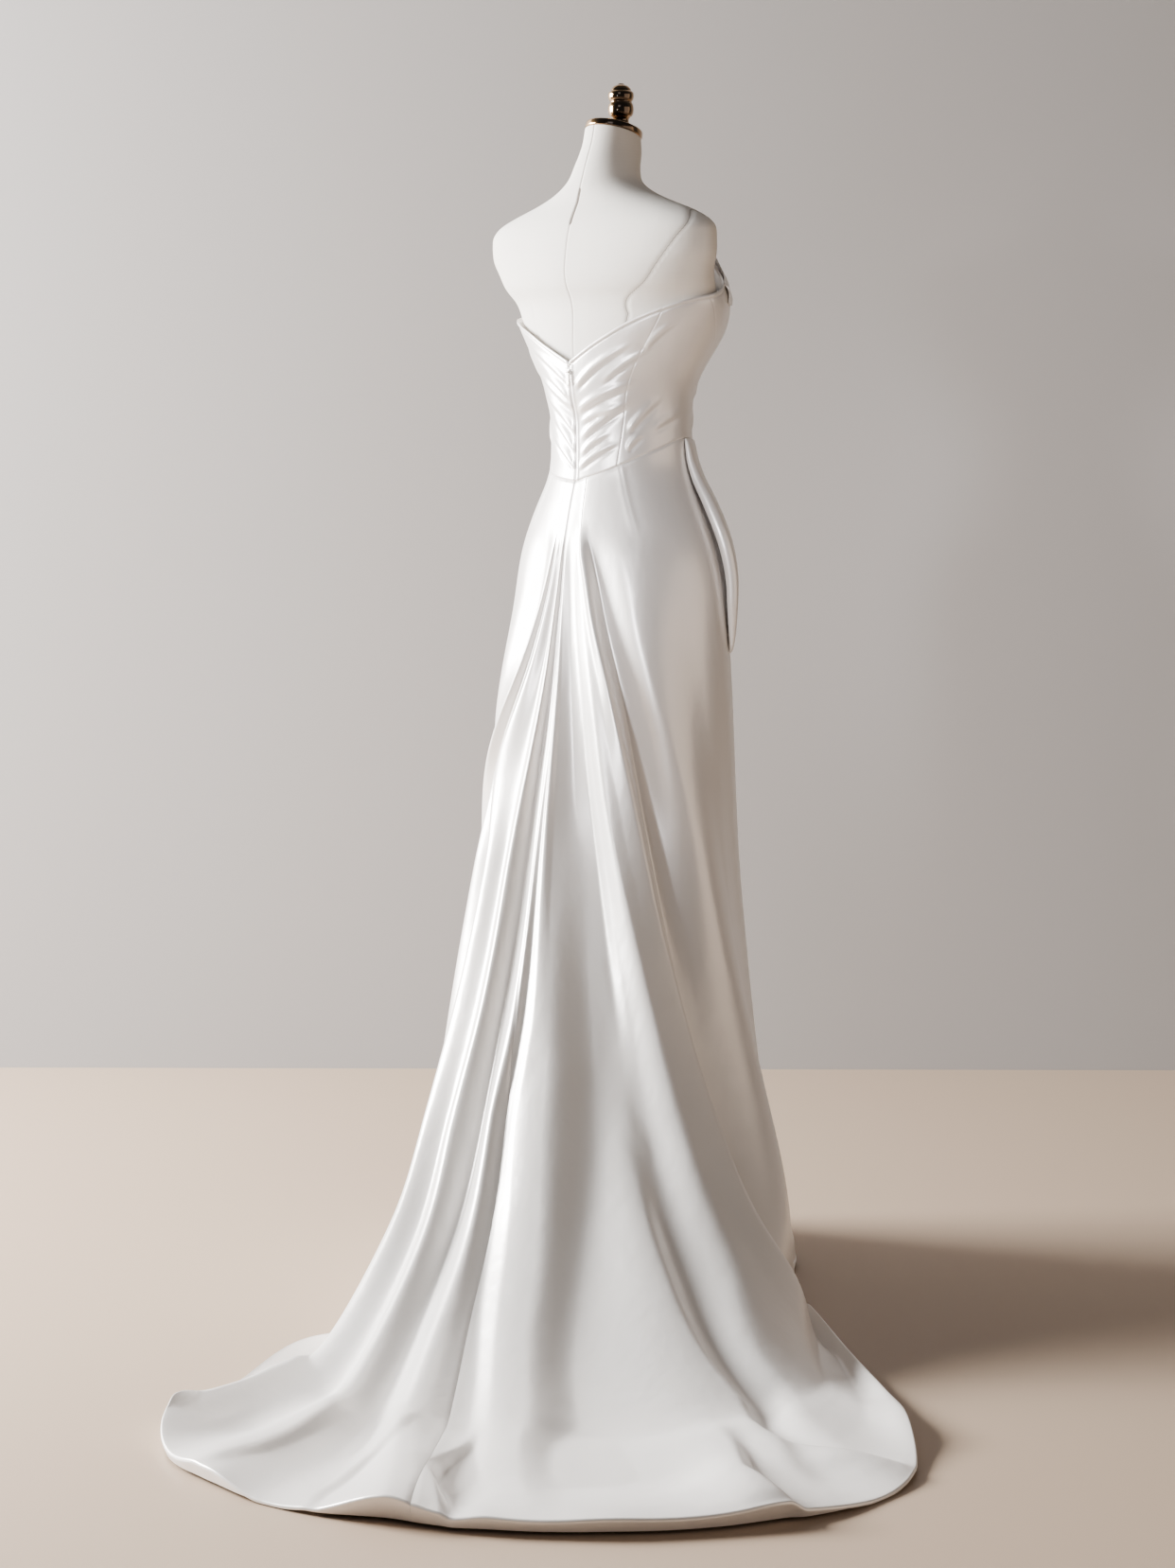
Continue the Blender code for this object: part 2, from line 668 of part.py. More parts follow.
def bodice_grid():
    """Middle surface of the bodice: rows from the neckline down to the waist seam."""
    cols = bodice_columns()
    places = np.linspace(1, 0, BODICE_ROWS + 1)
    grid = np.array([bodice_point(slanted(cols, place), place) for place in places])
    normals = grid_normals(grid)
    normals[-1] = level_normals(normals[-1])
    grid[-1, :, 2] += SEAM_GAP
    return cols, grid, normals


def build_bodice(satin):
    cols, grid, normals = bodice_grid()
    names = (
        "bodice_side_left",
        "bodice_back_left",
        "bodice_back_right",
        "bodice_side_right",
        "bodice_front",
    )
    seams = (-SIDE_SEAM, -BACK_PRINCESS, 0.0, BACK_PRINCESS, SIDE_SEAM)
    build_panels(names, seams, cols, grid, normals, BODICE_CLOTH, satin)


def build_cuffs(satin):
    """Folded petal on the top of each cup, moved out from the panel, with a free upper edge."""
    cols = bodice_columns()
    shares = cols[len(cols) - 1 - BODICE_FRONT_COLUMNS : -1]
    across = np.linspace(0, 1, len(shares))
    wave = CUFF_ENDS + (1 - 2 * CUFF_ENDS) * across
    drop = CUFF_DROP * np.sin(math.pi * wave) ** CUFF_FULLNESS
    tip = CUFF_TIP * np.sin(math.pi * across)
    for name, hand in (("cuff_right", 1), ("cuff_left", -1)):
        share = shares * hand
        low = waist_height(share)
        top = neck_height(share)
        rows = []
        for place in np.linspace(0, 1, CUFF_ROWS + 1):
            height = top + tip * (1 - place) - drop * place
            rows.append(bodice_point(share, (height - low) / (top - low)))
        grid = np.array(rows)
        normals = open_normals(grid, hand)
        free = (1 - np.linspace(0, 1, CUFF_ROWS + 1)) ** 2
        stand = BODICE_CLOTH + CUFF_CLEAR + CUFF_STAND * free[:, None] * np.sin(math.pi * across)
        wall(name, grid + normals * stand[..., None], normals, BODICE_CLOTH, satin)


def open_normals(grid, hand):
    """Outward normals of a grid that isn't a whole ring."""
    down = np.gradient(grid, axis=0)
    across = np.gradient(grid, axis=1) * hand
    out = np.cross(down, across)
    return out / np.linalg.norm(out, axis=-1, keepdims=True)


def gown_surface(cols, height):
    """The unpleated skirt at one height for each column."""
    right = read(OPENING, "height", "right", height)
    left = read(OPENING, "height", "left", height)
    shift = read(OPENING, "height", "shift", height)
    x, y = outline_points(gown_ring(height), fan_share(cols, right, left), shift)
    return np.stack([x, y, height], -1)


def build_drapes(satin):
    """Draped pleat over each hip, moved out from the skirt's own columns, open at its back edge."""
    cols, skirt, _ = skirt_grid()
    across = np.linspace(0, 1, DRAPE_COLUMNS + 1)
    swell = np.sin(math.pi * np.linspace(0, 1, DRAPE_ROWS + 1)) ** DRAPE_FULLNESS
    for name, hand in (("hip_drape_right", 1), ("hip_drape_left", -1)):
        columns = []
        for step, share in enumerate(across):
            at = np.argmin(np.abs(cols - hand * skirt_seam())) + hand * step
            line = skirt[: HANGING_ROWS + 1, at]
            low = DRAPE_LOW + DRAPE_SLANT * share
            heights = np.linspace(line[0, 2] - SEAM_GAP, low, DRAPE_ROWS + 1)
            down = line[::-1]
            columns.append([[np.interp(h, down[:, 2], down[:, k]) for k in range(3)] for h in heights])
        grid = np.array(columns).transpose(1, 0, 2)
        normals = open_normals(grid, hand)
        normals[0] = level_normals(normals[0])
        stand = DRAPE_STAND * swell[:, None] * (1 - across) ** DRAPE_CLOSING + SKIRT_CLOTH + 3 * SEAM_GAP
        grid = grid + normals * stand[..., None]
        normals = open_normals(grid, hand)
        normals[0] = level_normals(normals[0])
        wall(name, grid, normals, SKIRT_CLOTH, satin)


def form_ring(height, sides):
    """One level outline of the form, as a closed row of points."""
    angle = np.linspace(0, 2 * math.pi, sides, endpoint=False)
    side = read(FORM, "height", "side", height)
    back = read(FORM, "height", "back_y", height)
    front = read(FORM, "height", "front_y", height)
    centre = read(FORM, "height", "centre", height)
    x = -side * np.sin(angle)
    depth = np.where(np.cos(angle) >= 0, back - centre, centre - front)
    y = centre + depth * np.cos(angle)
    return x, y


def build_form(linen):
    """The form's torso and neck as one smooth closed body."""
    heights = [FORM[0].height]
    for band in FORM_BANDS:
        heights.extend(np.linspace(heights[-1], band.top, band.rows + 1)[1:])
    mesh = bmesh.new()
    rows = []
    for height in heights:
        x, y = form_ring(height, FORM_SIDES)
        z = np.full(FORM_SIDES, height)
        if height > NECK_BASE:
            share = (height - NECK_BASE) / (FORM[-1].height - NECK_BASE)
            z = z + share * math.tan(math.radians(NECK_TILT)) * (y - FORM[-1].centre)
        rows.append([mesh.verts.new(p) for p in zip(x, y, z)])
    skin_rows(mesh, rows)
    return finish("form_torso", mesh, linen)


def skin_rows(mesh, rows):
    """Joins closed rows of points one above the other, and fills both ends."""
    for low, high in zip(rows[:-1], rows[1:]):
        for j in range(len(low)):
            k = (j + 1) % len(low)
            mesh.faces.new((low[j], low[k], high[k], high[j]))
    mesh.faces.new(rows[0])
    mesh.faces.new(rows[-1])


def turned_solid(name, profile, sides, mat):
    """A solid of revolution about its own Z axis from (radius, height) pairs, base first."""
    mesh = bmesh.new()
    rows = []
    for radius, height in profile:
        turns = [2 * math.pi * step / sides for step in range(sides)]
        spots = [(radius * math.cos(turn), radius * math.sin(turn), height) for turn in turns]
        rows.append([mesh.verts.new(spot) for spot in spots])
    skin_rows(mesh, rows)
    return finish(name, mesh, mat)


def neck_frame():
    """Place and tilt of the neck's top face."""
    top = FORM[-1]
    tilt = Matrix.Rotation(math.radians(NECK_TILT), 4, "X")
    return Matrix.Translation((0, top.centre, top.height)) @ tilt


def back_frame(height):
    """A frame on the gown's middle surface at centre back: X level, Y outward, Z up the cloth."""
    heights = np.array([height - ZIP_STEP, height, height + ZIP_STEP])
    points = gown_surface(np.zeros(3), heights)
    up = Vector(points[2] - points[0]).normalized()
    out = up.cross(Vector((1, 0, 0))).normalized()
    out = out if out.y > 0 else -out
    axes = Matrix((Vector((1, 0, 0)), out, up)).transposed().to_4x4()
    return Matrix.Translation(Vector(points[1])) @ axes


def build_zip_tape(tape):
    """The zip's tape, just inside the centre back edges."""
    heights = np.linspace(ZIP_TOP, ZIP_END, TAPE_ROWS + 1)
    run = np.linspace(-TAPE_WIDE / 2, TAPE_WIDE / 2, TAPE_COLUMNS + 1)
    rows = []
    for height in heights:
        level = np.full(len(run), height)
        ring = gown_ring(level)
        sides = (half_outline(ring, 1.0), half_outline(ring, 1.0))
        x, y = points_along(ring, run, *sides)
        rows.append(np.stack([x, y, level], -1))
    grid = np.array(rows)
    normals = open_normals(grid, 1)
    sunk = BODICE_CLOTH / 2 + 3 * SEAM_GAP + TAPE_THICK / 2
    wall("zip_tape", grid - normals * sunk, normals, TAPE_THICK, tape)


def box_mesh(size, centre):
    """A box of three sizes round a centre."""
    mesh = bmesh.new()
    place = Matrix.Translation(centre) @ Matrix.Diagonal((*size, 1))
    bmesh.ops.create_cube(mesh, size=1, matrix=place)
    return mesh


def rod_mesh(radius, length, centre, sides=20):
    """A cylinder along X."""
    mesh = bmesh.new()
    place = Matrix.Translation(centre) @ Matrix.Rotation(math.pi / 2, 4, "Y")
    bmesh.ops.create_cone(
        mesh, cap_ends=True, segments=sides, radius1=radius, radius2=radius, depth=length, matrix=place
    )
    return mesh


def combine(name, first, others, mat):
    """Joins or cuts small meshes with exact Booleans: others holds (operation, mesh) pairs."""
    obj = finish(name, first, mat, smooth=False)
    for step, (operation, mesh) in enumerate(others):
        helper = finish(f"{name}_helper_{step}", mesh, mat, smooth=False)
        helper.hide_render = True
        helper.display_type = "WIRE"
        boolean = obj.modifiers.new(f"step_{step}", "BOOLEAN")
        boolean.operation = operation
        boolean.object = helper
        helper.parent = obj
    return obj


def build_slider(steel):
    """Slider with two ears and the pin that its pull swings on."""
    pin = Vector((0, PIN_STAND, 0))
    ear_x = KNUCKLE_WIDE / 2 + PIN_CLEARANCE + EAR_THICK / 2
    root = SLIDER_THICK / 2 - EAR_ROOT
    parts = []
    for hand in (-1, 1):
        centre = Vector((hand * ear_x, (root + PIN_STAND) / 2, 0))
        size = (EAR_THICK, PIN_STAND - root, 2 * EAR_RADIUS * INSET)
        parts.append(("UNION", box_mesh(size, centre)))
        ear = rod_mesh(EAR_RADIUS, EAR_THICK * INSET, pin + Vector((hand * ear_x, 0, 0)))
        parts.append(("UNION", ear))
    parts.append(("UNION", rod_mesh(PIN_RADIUS, 2 * ear_x, pin)))
    body = box_mesh((SLIDER_WIDE, SLIDER_THICK, SLIDER_TALL), (0, 0, 0))
    bmesh.ops.bevel(body, geom=body.edges[:], offset=SLIDER_ROUND, segments=2, affect="EDGES")
    slider = combine("zip_slider", body, parts, steel)
    slider.matrix_world = slider_frame()


def slider_frame():
    """Place of the slider's middle, just off the cloth."""
    out = BODICE_CLOTH / 2 + SEAM_GAP + SLIDER_THICK / 2
    return back_frame(SLIDER_HEIGHT) @ Matrix.Translation((0, out, 0))


def build_pull(steel):
    """Pull tab, with its origin on the slider's pin."""
    hole = rod_mesh(PIN_RADIUS + PIN_CLEARANCE, KNUCKLE_WIDE * 2, (0, 0, 0))
    neck_size = (KNUCKLE_WIDE * INSET, PULL_THICK, NECK_LONG)
    neck = box_mesh(neck_size, (0, 0, -NECK_LONG / 2 - NECK_START))
    tab_long = PULL_LONG - NECK_LONG
    tab = box_mesh((PULL_WIDE, PULL_THICK * INSET, tab_long), (0, 0, -NECK_LONG - tab_long / 2))
    edges = [e for e in tab.edges if abs(e.verts[0].co.y - e.verts[1].co.y) > PULL_THICK / 2]
    bmesh.ops.bevel(tab, geom=edges, offset=PULL_ROUND, segments=4, affect="EDGES")
    knuckle = rod_mesh(KNUCKLE_RADIUS, KNUCKLE_WIDE, (0, 0, 0))
    steps = [("UNION", neck), ("UNION", tab), ("DIFFERENCE", hole)]
    pull = combine("zip_pull", knuckle, steps, steel)
    pull.matrix_world = slider_frame() @ Matrix.Translation((0, PIN_STAND, 0))


def wire(name, points, place, steel):
    """A bent wire through points, as a round tube with closed ends."""
    curve = bpy.data.curves.new(name, "CURVE")
    curve.dimensions = "3D"
    curve.bevel_depth = HOOK_WIRE
    curve.bevel_resolution = 2
    curve.use_fill_caps = True
    spline = curve.splines.new("POLY")
    spline.points.add(len(points) - 1)
    for point, co in zip(spline.points, points):
        point.co = (*co, 1)
    curve.materials.append(steel)
    obj = bpy.data.objects.new(name, curve)
    bpy.context.scene.collection.objects.link(obj)
    obj.matrix_world = place


def build_hook_and_eye(steel):
    """A wire eye on the left edge, and a hook from the right edge whose bill lies over it."""
    lie = BODICE_CLOTH / 2 + SEAM_GAP + HOOK_WIRE
    place = back_frame(HOOK_HEIGHT)
    arc = np.linspace(math.pi / 2, 1.5 * math.pi, 11)
    loop = [(EYE_RADIUS * math.cos(a), lie, EYE_RADIUS * math.sin(a)) for a in arc]
    eye = [(EYE_LEG, lie, EYE_RADIUS)] + loop + [(EYE_LEG, lie, -EYE_RADIUS)]
    wire("eye_loop", eye, place, steel)
    over = lie + 2 * HOOK_WIRE + SEAM_GAP
    start = -EYE_RADIUS - HOOK_LONG
    bend = -EYE_RADIUS - HOOK_RISE
    steps = np.linspace(0, 1, 7)
    climb = [(bend + t * HOOK_CLIMB, lie + (over - lie) * smooth_step(t), 0) for t in steps]
    wire("hook_bill", [(start, lie, 0)] + climb + [(0, over, 0)], place, steel)


def build_neck_cap(brass):
    """The tilted disc on the neck, and the turned finial upright on the pole's line."""
    frame = neck_frame()
    profile = [
        (CAP_RADIUS - CAP_ROUND, 0.0),
        (CAP_RADIUS, CAP_ROUND / 2),
        (CAP_RADIUS, CAP_THICK - CAP_ROUND),
        (CAP_RADIUS - CAP_ROUND, CAP_THICK),
    ]
    cap = turned_solid("neck_cap", profile, 36, brass)
    cap.matrix_world = frame @ Matrix.Translation((0, 0, SEAM_GAP))
    knob = turned_solid("neck_finial", [(p.radius, p.height) for p in FINIAL], 24, brass)
    seat = frame @ Vector((0, 0, CAP_THICK + 2 * SEAM_GAP))
    slope = math.tan(math.radians(NECK_TILT))
    for vertex in knob.data.vertices:
        slant = max(0.0, 1 - vertex.co.z / FINIAL_FOOT)
        vertex.co.z += slope * vertex.co.y * slant
    knob.matrix_world = Matrix.Translation((0, 0, seat.z - slope * seat.y))


def build_stand(steel):
    """Round base with its hub, and the pole up to the form."""
    foot = FORM[0].height - SEAM_GAP
    hub = BASE_THICK + HUB_TALL
    profile = [
        (BASE_RADIUS, 0.0),
        (BASE_RADIUS, BASE_THICK - BASE_ROUND),
        (BASE_RADIUS - BASE_ROUND, BASE_THICK),
        (HUB_RADIUS, BASE_THICK + BASE_ROUND),
        (HUB_RADIUS, hub),
    ]
    turned_solid("stand_base", profile, 48, steel)
    turned_solid("stand_pole", [(POLE_RADIUS, hub + SEAM_GAP), (POLE_RADIUS, foot)], 24, steel)


def main():
    clear_scene()
    satin = material("ivory_satin", (0.86, 0.83, 0.80), 0.32)
    linen = material("form_linen", (0.82, 0.79, 0.75), 0.85)
    brass = material("polished_brass", (0.80, 0.60, 0.28), 0.18, 1.0)
    steel = material("stand_steel", (0.75, 0.74, 0.72), 0.35, 1.0)
    build_skirt(satin)
    build_bodice(satin)
    build_cuffs(satin)
    build_drapes(satin)
    build_zip_tape(material("zip_tape_cloth", (0.84, 0.81, 0.78), 0.7))
    build_slider(steel)
    build_pull(steel)
    build_hook_and_eye(steel)
    build_form(linen)
    build_neck_cap(brass)
    build_stand(steel)


main()
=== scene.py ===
"""Looks of a strapless satin gown with a sweep train, on a limbless dress form.

Metres, +Z up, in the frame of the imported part: the origin is on the floor under the pole, the
wearer's back faces +Y and the wearer's right is -X. The cloth pieces are thin shells on the same
ring tables as the solids, with the folds, drag lines, seams and rolled edges laid on them.
"""

import logging
import math
from dataclasses import dataclass
from enum import Enum
from typing import NamedTuple

import bmesh
import bpy
import numpy as np
from mathutils import Matrix, Vector

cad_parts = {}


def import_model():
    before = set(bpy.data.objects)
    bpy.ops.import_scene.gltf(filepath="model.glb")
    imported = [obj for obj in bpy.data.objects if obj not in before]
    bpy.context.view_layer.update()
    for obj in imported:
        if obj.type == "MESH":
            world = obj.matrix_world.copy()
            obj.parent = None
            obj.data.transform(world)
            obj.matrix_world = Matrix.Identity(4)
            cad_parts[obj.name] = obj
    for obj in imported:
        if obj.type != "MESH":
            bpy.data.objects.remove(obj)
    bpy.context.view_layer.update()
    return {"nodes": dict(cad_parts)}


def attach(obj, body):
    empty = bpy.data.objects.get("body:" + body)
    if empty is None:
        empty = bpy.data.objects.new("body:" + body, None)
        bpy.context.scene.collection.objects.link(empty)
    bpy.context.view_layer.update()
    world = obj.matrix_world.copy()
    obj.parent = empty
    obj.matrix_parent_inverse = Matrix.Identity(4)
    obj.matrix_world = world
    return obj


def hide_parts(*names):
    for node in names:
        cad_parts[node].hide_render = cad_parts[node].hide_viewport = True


LOG = logging.getLogger("gown")
MM = 0.001
SEAM_GAP = 0.3 * MM
Array = np.ndarray
Vec3 = tuple[float, float, float]
Span = tuple[float, float]
Outline = dict[str, Array]
Material = bpy.types.Material
Object = bpy.types.Object
Socket = bpy.types.NodeSocket
Tree = bpy.types.NodeTree
# How much closer the bodice's rows and columns lie at the seams, from 0 to 1
CROWDING = 0.6


class Hand(Enum):
    """The wearer's side that a piece is on."""

    RIGHT = 1
    LEFT = -1


class Ring(NamedTuple):
    """A level outline of the gown: half widths, depths, the train's reach and its turn."""

    height: float
    side: float
    tail: float
    front: float
    back: float
    reach: float
    turn: float
    centre: float


class Opening(NamedTuple):
    """The share of each half outline that the fan of pleats takes, and the seam's shift."""

    height: float
    right: float
    left: float
    shift: float


class Edge(NamedTuple):
    """The height of a seam or edge at a share of the way from centre back to centre front."""

    share: float
    height: float


class Slant(NamedTuple):
    """Shares at which the bodice's upright seams lie, at a place from waist (0) to neck (1)."""

    place: float
    princess: float
    side: float


class FoldLine(NamedTuple):
    """A ridge or valley that runs down the skirt: its place and its rise in mm at each level."""

    places: tuple[float, ...]
    rises: tuple[float, ...]


class Drag(NamedTuple):
    """A drag line on the bodice: its ends in share and height, rise and width in mm."""

    share_start: float
    height_start: float
    share_end: float
    height_end: float
    rise: float
    width: float


class Mound(NamedTuple):
    """A rise of the cloth on the floor: place and floor level, rise and reaches in mm."""

    place: float
    level: float
    rise: float
    wide: float
    long: float


class Tuck(NamedTuple):
    """A fold of the train that has slid over itself: places and rises in mm at TUCK_LEVELS."""

    places: tuple[float, ...]
    rises: tuple[float, ...]
    gentle: float
    steep: float


class Torso(NamedTuple):
    """A level outline of the dress form."""

    height: float
    side: float
    back_y: float
    front_y: float
    centre: float


class Turned(NamedTuple):
    """A point of a turned profile."""

    radius: float
    height: float


class Sheet(NamedTuple):
    """A cloth's cut before it was sewn: width, length and area, how it is held and on what."""

    width: float
    length: float
    area: float
    held: str
    rests_on: tuple[str, ...]


class Relief(NamedTuple):
    """A line raised or sunk beside an edge: its rise, its way from the edge and its width in mm."""

    rise: float
    away: float
    wide: float

    def lay(self, far: Array) -> Array:
        """Its rise in metres at each distance from the edge."""
        return self.rise * MM * bell((far - self.away * MM) / (self.wide * MM))


class Wave(NamedTuple):
    """A ripple: its size, and its turns in radians across, down and at the start."""

    size: float
    across: float
    down: float
    start: float

    def lay(self, across: Array, down: Array | float = 0.0) -> Array:
        """Its rise at each place, in the unit of its size."""
        return self.size * np.sin(self.across * across + self.down * down + self.start)


class LampKind(Enum):
    """The kinds of light in the studio."""

    SOFTBOX = "AREA"
    SPOT = "SPOT"


class Lamp(NamedTuple):
    """A light: its place, the point it faces, its side (a spot's angle), power and colour."""

    name: str
    kind: LampKind
    place: Vec3
    aim: Vec3
    size: float
    power: float
    colour: Vec3


GOWN = (
    Ring(0.012, 0.254, 0.318, 0.240, 0.200, 0.560, 36, 0.000),
    Ring(0.035, 0.249, 0.302, 0.236, 0.195, 0.500, 36, 0.000),
    Ring(0.080, 0.238, 0.285, 0.228, 0.190, 0.410, 36, 0.000),
    Ring(0.160, 0.222, 0.262, 0.214, 0.185, 0.290, 36, 0.000),
    Ring(0.290, 0.202, 0.230, 0.188, 0.175, 0.180, 34, 0.000),
    Ring(0.470, 0.184, 0.196, 0.154, 0.160, 0.090, 28, 0.000),
    Ring(0.660, 0.174, 0.177, 0.130, 0.146, 0.040, 18, 0.000),
    Ring(0.870, 0.173, 0.173, 0.120, 0.134, 0.010, 7, 0.000),
    Ring(0.980, 0.171, 0.171, 0.118, 0.123, 0.000, 0, -0.002),
    Ring(1.050, 0.158, 0.158, 0.114, 0.116, 0.000, 0, -0.003),
    Ring(1.100, 0.136, 0.136, 0.102, 0.107, 0.000, 0, -0.004),
    Ring(1.140, 0.115, 0.115, 0.092, 0.097, 0.000, 0, -0.005),
    Ring(1.175, 0.106, 0.106, 0.090, 0.094, 0.000, 0, -0.004),
    Ring(1.225, 0.105, 0.105, 0.092, 0.093, 0.000, 0, -0.002),
    Ring(1.260, 0.109, 0.109, 0.098, 0.099, 0.000, 0, 0.001),
    Ring(1.285, 0.119, 0.119, 0.101, 0.102, 0.000, 0, 0.001),
    Ring(1.310, 0.137, 0.137, 0.102, 0.103, 0.000, 0, 0.001),
    Ring(1.340, 0.158, 0.158, 0.110, 0.103, 0.000, 0, 0.002),
    Ring(1.365, 0.174, 0.174, 0.112, 0.101, 0.000, 0, 0.003),
    Ring(1.390, 0.182, 0.182, 0.106, 0.099, 0.000, 0, 0.004),
    Ring(1.410, 0.177, 0.177, 0.096, 0.097, 0.000, 0, 0.005),
    Ring(1.450, 0.156, 0.156, 0.081, 0.094, 0.000, 0, 0.006),
    Ring(1.480, 0.148, 0.148, 0.074, 0.092, 0.000, 0, 0.006),
)
HEM = Ring(0.0, 0.258, 0.450, 0.250, 0.270, 0.820, 36, 0.000)

OPENINGS = (
    Opening(0.012, 0.560, 0.580, -0.120),
    Opening(0.080, 0.450, 0.540, -0.125),
    Opening(0.160, 0.365, 0.520, -0.120),
    Opening(0.290, 0.320, 0.500, -0.105),
    Opening(0.470, 0.285, 0.460, -0.075),
    Opening(0.660, 0.240, 0.380, -0.040),
    Opening(0.870, 0.160, 0.140, -0.008),
    Opening(1.000, 0.100, 0.060, 0.000),
    Opening(1.080, 0.060, 0.045, 0.000),
    Opening(1.130, 0.060, 0.060, 0.000),
    Opening(1.220, 0.060, 0.060, 0.000),
)
HEM_OPENING = Opening(0.0, 0.665, 0.640, -0.100)

WAIST_SEAM = (
    Edge(0.00, 1.139),
    Edge(0.18, 1.157),
    Edge(0.38, 1.183),
    Edge(0.56, 1.199),
    Edge(0.75, 1.194),
    Edge(1.00, 1.176),
)
NECKLINE = (
    Edge(0.00, 1.304),
    Edge(0.14, 1.338),
    Edge(0.25, 1.364),
    Edge(0.38, 1.385),
    Edge(0.52, 1.400),
    Edge(0.62, 1.424),
    Edge(0.70, 1.456),
    Edge(0.78, 1.436),
    Edge(0.90, 1.394),
    Edge(1.00, 1.376),
)

